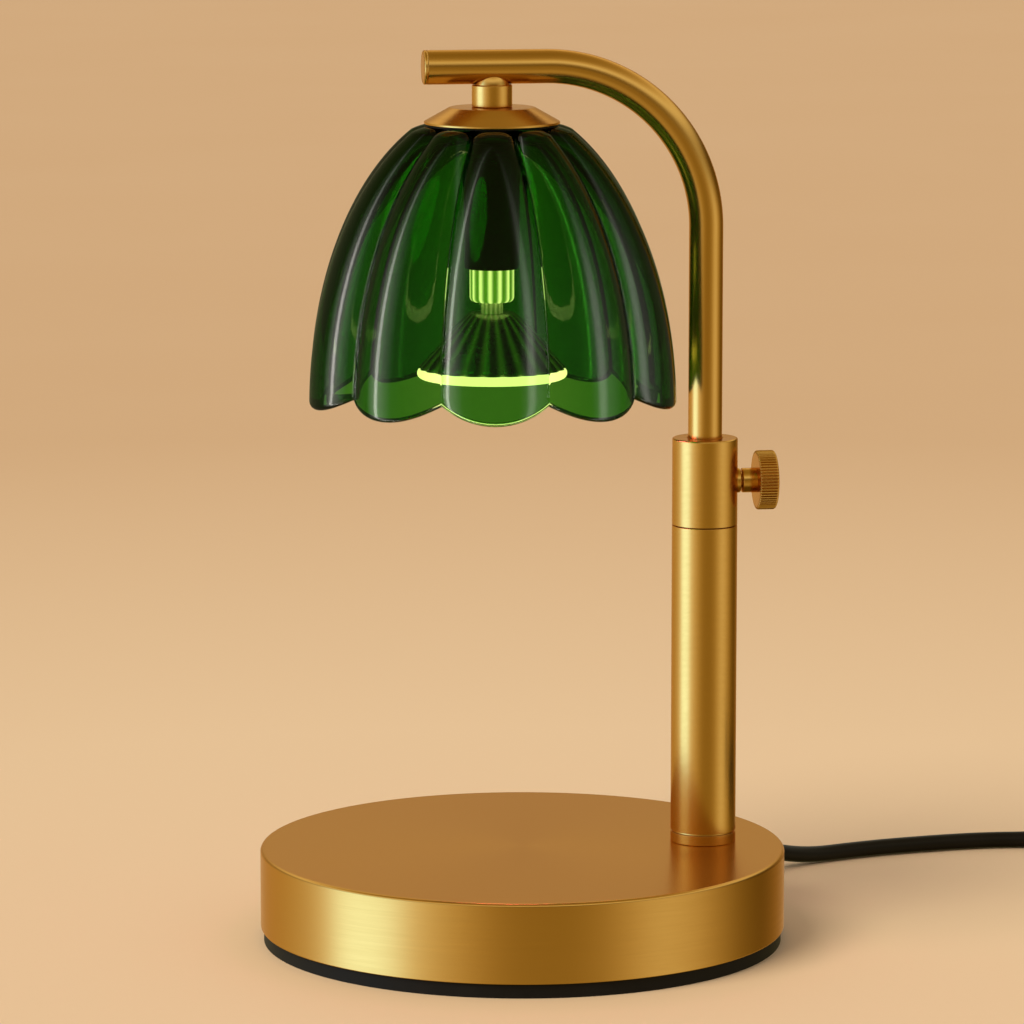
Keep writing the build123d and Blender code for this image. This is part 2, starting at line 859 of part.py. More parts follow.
cord_end_reach = base_radius - cord_inner_length
cord_end_x = cord_end_reach * math.cos(cord_exit_direction)
cord_end_y = cord_end_reach * math.sin(cord_exit_direction)
to_pole = math.degrees(math.atan2(-cord_end_y, pole_offset - cord_end_x))
run_to_pole = math.hypot(pole_offset - cord_end_x, cord_end_y)
terminal_room = run_to_pole - stud_washer_diameter / 2
terminal_from_cord = (terminal_room - terminal_length) / 2 + terminal_past_middle


def from_cord_to_pole(shape):
    """A shape drawn along +X from the cord's inner end, laid on the line to the pole."""
    return Pos(cord_end_x, cord_end_y, 0) * Rot(0, 0, to_pole) * shape


def cord_inner():
    return at_angle(along_x(cord_radius, cord_end_reach, cord_start_reach, cord_exit_height), cord_exit_angle)


def cord_cores():
    """The two cores from the stripped cord to the terminals."""
    cores = []
    turn = cord_exit_angle + 180 - to_pole
    for side in (-1, 1):
        offset = side * core_spacing / 2
        start = Vector(0, side * core_diameter / 2 * 1.1, cord_exit_height).rotate(Axis.Z, turn)
        corner = start + Vector(core_tail, 0, 0).rotate(Axis.Z, turn)
        points = [tuple(start), tuple(corner), (terminal_from_cord - core_tail, offset, lead_height)]
        points.append((terminal_from_cord, offset, lead_height))
        cores.append(swept(core_diameter / 2, points, [r * 0.9 for r in route_radii(points)]))
    return from_cord_to_pole(Compound(children=cores))


def terminal_block():
    end = terminal_from_cord + terminal_length
    half = terminal_width / 2
    return from_cord_to_pole(block((terminal_from_cord, end), (-half, half), (plate_top + 1, ballast_bottom)))


def pole_lead():
    """Round two-core lead from the terminals, under the stud and up the pole."""
    top = arm_height - arm_bend_radius - lead_overlap_gap - 10
    points = [(terminal_from_cord + terminal_length, 0, lead_height)]
    points += [(run_to_pole, 0, lead_height), (run_to_pole, 0, top)]
    return from_cord_to_pole(swept(lead_diameter / 2, points, lead_bend_radius))


def arm_lead():
    """Round two-core lead from the lamp socket through the nipple and the arm."""
    bottom = arm_height - arm_bend_radius - 10
    points = [(shade_x, 0, socket_top), *arm_line(shade_x, bottom)]
    return swept(lead_diameter / 2, points, [lead_bend_radius, arm_bend_radius])


def clamp_screw_places():
    """Where the cord clamp's screws stand, on both sides of the cord."""
    reach = base_radius - shell_wall - clamp_from_wall - clamp_block_length / 2
    sides = (-clamp_screw_spacing / 2, clamp_screw_spacing / 2)
    places = [Vector(reach, side, 0).rotate(Axis.Z, cord_exit_angle) for side in sides]
    return [(place.X, place.Y) for place in places]


def cord_clamp():
    outer = base_radius - shell_wall - clamp_from_wall
    low = cord_exit_height - cord_radius - clamp_block_floor
    half = clamp_block_width / 2
    clamp = block((outer - clamp_block_length, outer), (-half, half), (low, ballast_bottom))
    clamp -= along_x(cord_radius + thread_gap, 0, base_radius, cord_exit_height)
    clamp = at_angle(clamp, cord_exit_angle)
    for x, y in clamp_screw_places():
        clamp -= rod(clamp_screw_diameter / 2 + thread_gap, 0, base_top, x, y)
        clamp -= rod(clamp_screw_head_diameter / 2 + thread_gap, 0, low + clamp_screw_head_height, x, y)
    return clamp


def cord_clamp_screws():
    low = cord_exit_height - cord_radius - clamp_block_floor
    screws = []
    for x, y in clamp_screw_places():
        shank = rod(clamp_screw_diameter / 2, low, ballast_bottom + clamp_screw_grip, x, y)
        screws.append(shank + rod(clamp_screw_head_diameter / 2, low, low + clamp_screw_head_height, x, y))
    return Compound(children=screws)


# ---- Cord, dimmer, coil and plug ----------------------------------------------------------------


def tapered_x(start_radius, end_radius, start, end, z):
    """Round bar along +X that narrows or widens."""
    bar = Cone(start_radius, end_radius, end - start)
    return Pos((start + end) / 2, 0, z) * Rot(0, 90, 0) * bar


def cord_strain_relief():
    flange = relief_flange_diameter / 2
    neck = relief_neck_diameter / 2
    flange_end = base_radius + relief_flange_thickness
    inner = base_radius - shell_wall - relief_wall_gap
    bush = along_x(flange, inner - relief_flange_thickness, inner, cord_exit_height)
    bush += along_x(neck, inner, base_radius, cord_exit_height)
    bush += along_x(flange, base_radius, flange_end, cord_exit_height)
    bush += tapered_x(neck, relief_tail_diameter / 2, flange_end, cord_exit_reach, cord_exit_height)
    bush -= along_x(cord_radius + thread_gap, 0, cord_exit_reach + 1, cord_exit_height)
    return at_angle(bush, cord_exit_angle)


dimmer_middle_x = dimmer_start_x + dimmer_length / 2
wheel_y = dimmer_y - dimmer_width / 2 - wheel_reach + wheel_diameter / 2
wheel_low = dimmer_split_height - wheel_thickness / 2
wheel_high = dimmer_split_height + wheel_thickness / 2
dimmer_inner = dimmer_height - dimmer_wall
board_low = wheel_low - board_gap - board_thickness


def dimmer_screw_places():
    reach = dimmer_length / 2 - dimmer_corner_radius + 1
    side = dimmer_y + dimmer_width / 2 - dimmer_corner_radius + 1
    return [(dimmer_middle_x - reach, side), (dimmer_middle_x + reach, side)]


def dimmer_outline(inset, low, high):
    """Round-cornered bar in the dimmer case's plan."""
    plan = RectangleRounded(
        dimmer_length - 2 * inset, dimmer_width - 2 * inset, dimmer_corner_radius - inset
    )
    return Pos(dimmer_middle_x, dimmer_y, low) * extrude(plan, high - low)


def dimmer_case():
    """The whole case before it is parted: shell, posts, wheel slot and cord holes."""
    case = dimmer_outline(0, 0, dimmer_height)
    case = fillet(case.edges().group_by(Axis.Z)[-1] + case.edges().group_by(Axis.Z)[0], dimmer_edge_radius)
    case -= dimmer_outline(dimmer_wall, dimmer_wall, dimmer_inner)
    for x, y in dimmer_screw_places():
        case += rod(dimmer_post_diameter / 2, dimmer_wall, dimmer_inner, x, y)
    slot_low = wheel_low - 2 * hole_gap
    slot_high = wheel_high + 2 * hole_gap
    case -= rod(wheel_diameter / 2 + 2 * hole_gap, slot_low, slot_high, dimmer_middle_x, wheel_y)
    hole = dimmer_relief_diameter / 2 + thread_gap
    return case - along_x(hole, dimmer_start_x - 1, dimmer_end_x + 1, dimmer_cord_height, dimmer_y)


def dimmer_case_bottom():
    half = dimmer_case() & block((0, 2 * dimmer_end_x), (0, 2 * dimmer_y), (0, dimmer_split_height))
    half += rod(wheel_axle_diameter / 2, dimmer_wall, dimmer_split_height, dimmer_middle_x, wheel_y)
    half -= board_space()
    for x, y in dimmer_screw_places():
        half -= rod(dimmer_screw_diameter / 2 + hole_gap, -1, dimmer_height, x, y)
        half -= rod(dimmer_screw_head_diameter / 2 + hole_gap, -1, dimmer_screw_head_height, x, y)
    return half


def dimmer_case_top():
    top = dimmer_height
    half = dimmer_case() & block((0, 2 * dimmer_end_x), (0, 2 * dimmer_y), (dimmer_split_height, top))
    half += rod(wheel_axle_diameter / 2, dimmer_split_height, dimmer_inner, dimmer_middle_x, wheel_y)
    for x, y in dimmer_screw_places():
        half -= rod(dimmer_screw_diameter / 2 + thread_gap, 0, dimmer_inner, x, y)
    return half


def board_space():
    """Room in the lower half for the board's edge to drop past the posts."""
    reach = dimmer_length / 2 - dimmer_wall
    return block(
        (dimmer_middle_x - reach / 2, dimmer_middle_x + reach / 2),
        (dimmer_y + 1, dimmer_y + dimmer_width / 2 - dimmer_wall),
        (board_low, board_low + board_thickness),
    )


def dimmer_wheel():
    outline = Circle(wheel_diameter / 2)
    for x, y in on_circle(wheel_tooth_count, wheel_diameter / 2):
        outline -= Pos(x, y) * Circle(wheel_tooth_radius)
    outline -= Circle(wheel_axle_diameter / 2 + running_gap)
    return Pos(dimmer_middle_x, wheel_y, wheel_low) * extrude(outline, wheel_thickness)


def dimmer_board():
    reach = dimmer_length / 2 - dimmer_wall - dimmer_post_diameter - dimmer_corner_radius / 2
    half = dimmer_width / 2 - dimmer_wall
    board = block(
        (dimmer_middle_x - reach, dimmer_middle_x + reach),
        (dimmer_y - half, dimmer_y + half),
        (board_low, board_low + board_thickness),
    )
    return board - rod(wheel_axle_diameter / 2 + running_gap, 0, dimmer_height, dimmer_middle_x, wheel_y)


def dimmer_screws():
    screws = []
    for x, y in dimmer_screw_places():
        head_high = dimmer_screw_head_height
        shank = rod(dimmer_screw_diameter / 2, head_high, dimmer_inner - 1, x, y)
        screws.append(shank + rod(dimmer_screw_head_diameter / 2, hole_gap, head_high, x, y))
    return Compound(children=screws)


def dimmer_reliefs():
    """Short rubber bushes where the cord enters and leaves the dimmer."""
    bushes = []
    radius = dimmer_relief_diameter / 2
    for outer, inner in ((dimmer_entry_x, dimmer_start_x), (dimmer_exit_x, dimmer_end_x)):
        inward = dimmer_wall if inner > outer else -dimmer_wall
        low, high = sorted((outer, inner + inward))
        bushes.append(along_x(radius, low, high, dimmer_cord_height, dimmer_y))
    return Compound(children=bushes)


def power_cord():
    return swept(cord_radius, power_cord_route, route_radii(power_cord_route))


def coil_lead():
    return swept(cord_radius, coil_lead_route, route_radii(coil_lead_route))


def plug_lead():
    return swept(cord_radius, plug_lead_route, route_radii(plug_lead_route))


coil_half_width = coil_tracks * cord_diameter / 2
coil_height = coil_layers * cord_diameter


def cord_coil():
    ring = pipe(
        coil_mean_radius + coil_half_width,
        coil_mean_radius - coil_half_width,
        0,
        coil_height,
        coil_centre_x,
        coil_centre_y,
    )
    return fillet(ring.edges().group_by(Axis.Z)[-1], coil_edge_radius)


def coil_tie():
    """Soft strap closed round the coil's bundle."""
    reach = coil_half_width + tie_gap
    top = coil_height + hole_gap
    middle = coil_mean_radius
    outer = block(
        (middle - reach - tie_thickness, middle + reach + tie_thickness),
        (-tie_width / 2, tie_width / 2),
        (0, top + tie_thickness),
    )
    inner = block((middle - reach, middle + reach), (-tie_width, tie_width), (-1, top))
    return Pos(coil_centre_x, coil_centre_y, 0) * Rot(0, 0, tie_angle) * (outer - inner)


plug_back_y = plug_cord_y - plug_relief_length
plug_face_y = plug_back_y - plug_length


def plug_body():
    """Flat plug body, narrow where the cord enters and wide at the pins, with its moulded strain relief."""
    half_back = plug_back_width / 2
    half = plug_width / 2
    shoulder_y = plug_back_y - plug_length * 0.55
    outline = make_face(
        Polyline(
            (plug_x - half_back, plug_back_y),
            (plug_x + half_back, plug_back_y),
            (plug_x + half, shoulder_y),
            (plug_x + half, plug_face_y),
            (plug_x - half, plug_face_y),
            (plug_x - half, shoulder_y),
            close=True,
        )
    )
    body = extrude(outline, plug_height)
    body = fillet(body.edges().group_by(Axis.Z)[-1] + body.edges().group_by(Axis.Z)[0], plug_height / 6)
    relief = Cone(plug_height * 0.42, cord_radius + 0.6, plug_relief_length)
    middle_y = (plug_back_y + plug_cord_y) / 2
    return body + Pos(plug_x, middle_y, plug_height / 2) * Rot(-90, 0, 0) * relief


def plug_pins():
    pins = []
    for side in (-1, 1):
        pin = Rot(90, 0, 0) * Cylinder(plug_pin_diameter / 2, plug_pin_length)
        pin = fillet(pin.edges().sort_by(Axis.Y)[0], plug_pin_diameter / 4)
        x = plug_x + side * plug_pin_spacing / 2
        pins.append(Pos(x, plug_face_y - plug_pin_length / 2, plug_height / 2) * pin)
    return Compound(children=pins)


# ---- Output -------------------------------------------------------------------------------------

nodes = [
    foot_pad,
    bottom_plate,
    base_screws,
    base_shell,
    ballast_weight,
    pole_stud,
    stud_nut,
    stud_washer,
    pole_foot,
    pole_tube,
    clamp_collar,
    collar_bush,
    clamp_pad,
    thumb_screw,
    thumb_knob,
    arm_tube,
    arm_end_cap,
    arm_guide_plug,
    arm_clip,
    arm_ferrule,
    neck_nipple,
    neck_saddle,
    neck_sleeve,
    shade_cap,
    shade_gasket,
    glass_shade,
    cover_washer,
    holder_cover,
    cover_nut,
    socket_carrier,
    socket_screws,
    lamp_socket,
    lamp_base,
    lamp_pins,
    lamp_neck,
    lamp_reflector,
    lamp_ring,
    lamp_lens,
    lamp_capsule,
    cord_inner,
    cord_cores,
    terminal_block,
    pole_lead,
    arm_lead,
    cord_clamp,
    cord_clamp_screws,
    cord_strain_relief,
    power_cord,
    dimmer_case_bottom,
    dimmer_case_top,
    dimmer_wheel,
    dimmer_board,
    dimmer_screws,
    dimmer_reliefs,
    coil_lead,
    cord_coil,
    coil_tie,
    plug_lead,
    plug_body,
    plug_pins,
]

os.makedirs("parts", exist_ok=True)
for node in nodes:
    export_step(node(), f"parts/{node.__name__}.step")

for name, route in (("power_cord", power_cord_route), ("coil_lead", coil_lead_route), ("plug_lead", plug_lead_route)):
    print(name, "arc radii", [round(radius, 1) for radius in route_radii(route)])
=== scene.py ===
"""Candle warmer lamp: the looks of a brass lamp with a petal shade of green glass, round its fixed frame."""

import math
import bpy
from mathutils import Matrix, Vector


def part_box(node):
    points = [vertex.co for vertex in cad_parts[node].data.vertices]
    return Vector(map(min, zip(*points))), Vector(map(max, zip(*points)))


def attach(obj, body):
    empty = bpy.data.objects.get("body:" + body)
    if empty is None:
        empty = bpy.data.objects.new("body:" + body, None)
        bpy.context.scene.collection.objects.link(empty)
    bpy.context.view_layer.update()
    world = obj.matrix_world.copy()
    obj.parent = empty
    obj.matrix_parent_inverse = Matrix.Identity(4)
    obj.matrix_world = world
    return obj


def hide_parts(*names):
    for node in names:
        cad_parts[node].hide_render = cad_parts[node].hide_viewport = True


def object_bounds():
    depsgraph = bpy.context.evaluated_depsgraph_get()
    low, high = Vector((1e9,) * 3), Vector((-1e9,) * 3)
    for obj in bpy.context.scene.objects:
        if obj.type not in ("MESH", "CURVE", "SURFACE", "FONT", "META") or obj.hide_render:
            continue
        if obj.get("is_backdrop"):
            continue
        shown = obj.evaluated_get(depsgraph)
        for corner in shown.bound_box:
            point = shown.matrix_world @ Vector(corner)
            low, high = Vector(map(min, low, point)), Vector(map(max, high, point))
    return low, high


bl_info = {
    "name": "Candle Warmer Lamp",
    "version": (1, 0, 0),
    "blender": (4, 5, 0),
    "location": "3D View > Sidebar > Lamp",
    "description": "Builds the looks of a brass candle warmer lamp round its fixed frame",
    "category": "Add Mesh",
}

from functools import cache

import bmesh
import bpy
from mathutils import Matrix, Vector

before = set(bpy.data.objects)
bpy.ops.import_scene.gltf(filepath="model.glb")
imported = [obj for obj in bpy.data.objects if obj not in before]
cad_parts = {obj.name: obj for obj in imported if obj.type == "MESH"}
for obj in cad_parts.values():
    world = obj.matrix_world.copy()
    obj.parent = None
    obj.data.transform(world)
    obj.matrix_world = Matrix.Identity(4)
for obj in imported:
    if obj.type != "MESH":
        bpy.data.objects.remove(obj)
CAD_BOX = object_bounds()
MM = 0.001
TURN = 2 * math.pi
WELD = 1e-7


# ---- Places read from the frame


def low(node):
    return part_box(node)[0]


def high(node):
    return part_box(node)[1]


def middle(node):
    return (low(node) + high(node)) / 2


def half_width(node):
    return (high(node).x - low(node).x) / 2


def half_height(node):
    return (high(node).z - low(node).z) / 2


BASE_RADIUS = high("base_shell").x
BASE_TOP = high("base_shell").z
POLE_X = middle("pole_tube").x
POLE_RADIUS = half_width("pole_tube")
ARM_RADIUS = high("arm_tube").x - POLE_X
ARM_HEIGHT = high("arm_tube").z - ARM_RADIUS
SHADE_X = middle("shade_cap").x
SCREW_HEIGHT = middle("thumb_screw").z


# ---- Sizes and colours that a user would change


def setting(kind, **limits):
    """A maker of one kind of property, from a name, a description and a default."""

    def make(name, description, default):
        return kind(name=name, description=description, default=default, **limits)

    return make


length = setting(bpy.props.FloatProperty, min=0.0, unit="LENGTH", precision=5)
share = setting(bpy.props.FloatProperty, min=0.0, max=1.0, subtype="FACTOR")
amount = setting(bpy.props.FloatProperty, min=0.0)
angle = setting(bpy.props.FloatProperty, subtype="ANGLE")
colour = setting(bpy.props.FloatVectorProperty, min=0.0, max=1.0, subtype="COLOR", size=3)


class BrassFinish(bpy.types.PropertyGroup):
    """The brushed brass of the base, pole, arm and cap"""

    tone: colour("Tone", "Colour of the lacquered brass", (0.62, 0.350, 0.090))
    dark_tone: colour("Dark tone", "Colour in the brush lines", (0.53, 0.286, 0.061))
    roughness: share("Roughness", "How satin the brass is", 0.24)
    grain: amount("Grain", "How strongly the brush lines show in relief", 0.10)


class ShadeGlass(bpy.types.PropertyGroup):
    """The shade's glass and its shape"""

    tone: colour("Tone", "Colour of the glass's surface", (0.93, 1.0, 0.90))
    absorption: colour("Absorption", "Colour that a thick piece of the glass turns to", (0.20, 0.71, 0.02))
    density: amount("Density", "How fast the glass darkens with its thickness, per metre", 1250.0)
    lobes: setting(bpy.props.IntProperty, min=3)("Lobes", "Petals round the shade", 10)
    turn: angle("Turn", "Angle of the first petal", math.radians(-96.9))
    crest_radius: length("Crest radius", "Radius of the rim at a petal's middle", 60.3 * MM)
    groove_radius: length("Groove radius", "Radius of the rim between two petals", 55.0 * MM)
    crest_rise: length("Crest rise", "Height of the ellipse that a petal's middle follows", 97.0 * MM)
    groove_rise: length("Groove rise", "Height of the ellipse that a groove follows", 93.5 * MM)
    wall: length("Wall", "Thickness of the glass", 3.0 * MM)
    scallop: length("Scallop", "How far the rim rises between two petals", 5.3 * MM)


class LampGlow(bpy.types.PropertyGroup):
    """The lit halogen lamp inside the shade"""

    tone: colour("Tone", "Colour of the lamp's light", (1.0, 0.20, 0.60))
    base_strength: amount("Base strength", "Brightness of the ribbed glass base", 18.0)
    ring_strength: amount("Ring strength", "Brightness of the reflector's rim", 19.0)
    lens_tone: colour("Lens tone", "Colour of the front lens, which is seen bare", (1.0, 0.72, 0.40))
    lens_strength: amount("Lens strength", "Brightness of the front lens", 1.0)


class CordShape(bpy.types.PropertyGroup):
    """The mains cord and its coil"""

    diameter: length("Diameter", "Outside of the cord's sheath", 5.6 * MM)
    tracks: setting(bpy.props.IntProperty, min=1)("Tracks", "Turns side by side in a layer", 4)
    coil_radius: length("Coil radius", "Middle of the coil's turns", 32.0 * MM)


class StageLook(bpy.types.PropertyGroup):
    """Floor, background and camera"""

    floor: colour("Floor", "Colour of the floor round the lamp", (0.77, 0.545, 0.325))
    background: colour("Background", "Colour of the floor further back", (0.60, 0.375, 0.195))
    lens: setting(bpy.props.FloatProperty, min=1.0)("Lens", "Focal length in mm", 193.36)
    pitch: angle("Pitch", "How far the camera looks down", math.radians(8.936))
    yaw: angle("Yaw", "How far the lamp is turned", math.radians(8.2))
    distance: length("Distance", "From the camera to its target", 1832.4 * MM)


# ---- Mesh helpers


def arc(centre, radius, start, end, steps):
    """Points of an arc in a profile, from one angle in degrees to another."""
    angles = [math.radians(start + (end - start) * k / steps) for k in range(steps + 1)]
    return [(centre[0] + radius * math.cos(a), centre[1] + radius * math.sin(a)) for a in angles]


def corner(radius, height, edge, start, end, steps):
    """A rounded outer corner of a profile: from 0 to 90 degrees at the top, from -90 to 0 below, or back."""
    return arc((radius - edge, height - math.copysign(edge, start + end)), edge, start, end, steps)


def chain(bm, points, closed=False):
    """Edges through (radius, height) points in the XZ plane."""
    verts = [bm.verts.new((r, 0.0, z)) for r, z in points]
    following = verts[1:] + verts[:1] if closed else verts[1:]
    return [bm.edges.new(pair) for pair in zip(verts, following)]


def turned_round(bm, steps):
    """Turns a chain of edges once about the upright axis."""
    bmesh.ops.spin(
        bm, geom=list(bm.verts) + list(bm.edges), cent=(0, 0, 0), axis=(0, 0, 1), angle=TURN, steps=steps,
        use_merge=True,
    )
    bmesh.ops.remove_doubles(bm, verts=bm.verts, dist=WELD)


def spun(points, x=0.0, steps=128, closed=True):
    """A bmesh of the profile turned about an upright axis."""
    bm = bmesh.new()
    chain(bm, points, closed)
    turned_round(bm, steps)
    bmesh.ops.dissolve_degenerate(bm, edges=bm.edges, dist=WELD)
    bmesh.ops.translate(bm, verts=bm.verts, vec=(x, 0.0, 0.0))
    bmesh.ops.recalc_face_normals(bm, faces=bm.faces)
    return bm


def moved(bm, place, angle=0.0, axis="Z"):
    """Turns a shape about the origin and then moves it to a place."""
    turn = Matrix.Rotation(angle, 4, axis)
    bmesh.ops.transform(bm, matrix=Matrix.Translation(place) @ turn, verts=bm.verts)
    return bm


def along_x(bm, x=0.0, z=0.0):
    """Lays an upright turned shape down, so that its axis runs along +X from x."""
    return moved(bm, (x, 0.0, z), math.radians(90), "Y")


def drawn(bm, edges, whole, steps):
    """Draws edges out in equal steps and returns the last ones."""
    for _ in range(steps):
        out = bmesh.ops.extrude_edge_only(bm, edges=edges)["geom"]
        verts = [g for g in out if isinstance(g, bmesh.types.BMVert)]
        bmesh.ops.translate(bm, verts=verts, vec=whole / steps)
        edges = [g for g in out if isinstance(g, bmesh.types.BMEdge) and all(v in verts for v in g.verts)]
    return edges


def joined(*shapes):
    """One bmesh of several."""
    whole = shapes[0]
    for shape in shapes[1:]:
        mesh = bpy.data.meshes.new("joined")
        shape.to_mesh(mesh)
        shape.free()
        whole.from_mesh(mesh)
        bpy.data.meshes.remove(mesh)
    return whole


def block(*spans):
    """A box from its spans along X, Y and Z."""
    bm = bmesh.new()
    centre = Vector([(a + b) / 2 for a, b in spans])
    size = Vector([b - a for a, b in spans])
    bmesh.ops.create_cube(bm, size=1.0, matrix=Matrix.LocRotScale(centre, None, size))
    return bm


def rounded(bm, edges, radius, segments):
    """Rounds some edges of a bmesh."""
    bmesh.ops.bevel(
        bm, geom=edges, offset=radius, segments=segments, profile=0.5, affect="EDGES", material=-1,
        clamp_overlap=True,
    )


def upright_edges(bm):
    return [e for e in bm.edges if abs(e.verts[0].co.z - e.verts[1].co.z) > 0.9 * e.calc_length()]


def sharp_edges_at(bm, height):
    """The sharp level edges at a height."""
    return [
        e for e in bm.edges
        if all(abs(v.co.z - height) < 1e-6 for v in e.verts) and e.calc_face_angle(0.0) > 0.6
    ]


def pressed(bm, sunk, x=0.0):
    """Draws an upright shape's points towards its axis at x by the share that their radius and angle give."""
    for vert in bm.verts:
        aside = vert.co.x - x
        left = 1.0 - sunk(math.hypot(aside, vert.co.y), math.atan2(vert.co.y, aside))
        vert.co.x, vert.co.y = x + aside * left, vert.co.y * left
    bmesh.ops.recalc_face_normals(bm, faces=bm.faces)
    return bm


def fluted(bm, count, depth, start, full):
    """Presses flutes into an upright shape, from none at one radius to full depth at another."""

    def sunk(reach, around):
        grip = min(1.0, max(0.0, (reach - start) / (full - start)))
        wave = (0.5 - 0.5 * math.cos(around * count)) ** 1.6  # narrow grooves between broad ridges
        return depth * grip * wave / max(reach, full / 2)

    return pressed(bm, sunk)


def bend_relief(length, wide, narrow, bore, rings, place, heading):
    """A tapered rubber sleeve with soft rings that runs level from a place, turned to a heading."""
    groove, nick, end_nick = 0.55 * MM, 0.3 * MM, 0.25 * MM
    profile = [(bore, 0.0), (wide - nick, 0.0), (wide, nick)]
    for ring in range(rings):
        for along, sunk in ((0.15, 0), (0.55, 0), (0.66, 1), (0.90, 1)):
            done = (ring + along) / rings
            profile.append((wide + (narrow - wide) * done - sunk * groove, length * done))
    profile += [(narrow, length - nick), (narrow - end_nick, length), (bore, length)]
    return moved(along_x(spun(profile, steps=64)), place, heading)


def carved(bm, cutter):
    """The shape with the cutter's shape taken out of it."""
    shapes = []
    for shape in (bm, cutter):
        mesh = bpy.data.meshes.new("carving")
        shape.to_mesh(mesh)
        shape.free()
        shapes.append(bpy.data.objects.new("carving", mesh))
        bpy.context.scene.collection.objects.link(shapes[-1])
    cut = shapes[0].modifiers.new("Cut", "BOOLEAN")
    cut.operation = "DIFFERENCE"
    cut.solver = "EXACT"
    cut.object = shapes[1]
    result = bmesh.new()
    result.from_mesh(shapes[0].evaluated_get(bpy.context.evaluated_depsgraph_get()).to_mesh())
    for shape in shapes:
        mesh = shape.data
        bpy.data.objects.remove(shape)
        bpy.data.meshes.remove(mesh)
    return result


def added(name, data, material, body):
    """An object in the scene that rides on a body of the frame."""
    data.materials.append(material)
    made = bpy.data.objects.new(name, data)
    bpy.context.scene.collection.objects.link(made)
    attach(made, body)
    return made


def piece(
    name, bm, material, body, node=None, wall=0.0, edge=0.0, angle=35, flat=False
):
    """A finished piece in a node's place; a wall is added inwards, and edges past the angle are rounded."""
    mesh = bpy.data.meshes.new(name)
    bm.to_mesh(mesh)
    bm.free()
    mesh.polygons.foreach_set("use_smooth", [True] * len(mesh.polygons))
    made = added(name, mesh, material, body)
    if node:
        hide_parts(node)
    if wall:
        skin = made.modifiers.new("Wall", "SOLIDIFY")
        skin.thickness = wall
        skin.offset = -1.0
    if edge:
        bevel = made.modifiers.new("Rounded edges", "BEVEL")
        bevel.width = edge
        bevel.segments = 2
        bevel.limit_method = "ANGLE"
        bevel.angle_limit = math.radians(angle)
    if edge or flat:
        made.modifiers.new("Flat faces", "WEIGHTED_NORMAL").keep_sharp = bool(edge)
    return made


def refinish(node, material):
    """Gives a node that keeps the frame's shape its finish."""
    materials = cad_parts[node].data.materials
    materials.clear()
    materials.append(material)


# ---- Shader helpers


def operation(name, reflected=False):
    """An operator of Term that adds a Math node; a reflected one has its inputs the other way round."""

    def apply(term, other):
        return term.surface.math(name, *((other, term) if reflected else (term, other)))

    return apply


class Term:
    """A node's output that takes part in Python arithmetic."""

    def __init__(self, surface, socket):
        self.surface = surface
        self.socket = socket

    __add__ = __radd__ = operation("ADD")
    __mul__ = __rmul__ = operation("MULTIPLY")
    __sub__ = operation("SUBTRACT")
    __rsub__ = operation("SUBTRACT", reflected=True)
    __truediv__ = operation("DIVIDE")
    __rtruediv__ = operation("DIVIDE", reflected=True)
    __pow__ = operation("POWER")

    def clamped(self):
        return self.surface.math("ADD", self, 0.0, clamp=True)

    def part(self, axis):
        """One component of a vector."""
        return self.surface.node("ShaderNodeSeparateXYZ", inputs=(self,), output="XYZ".index(axis))


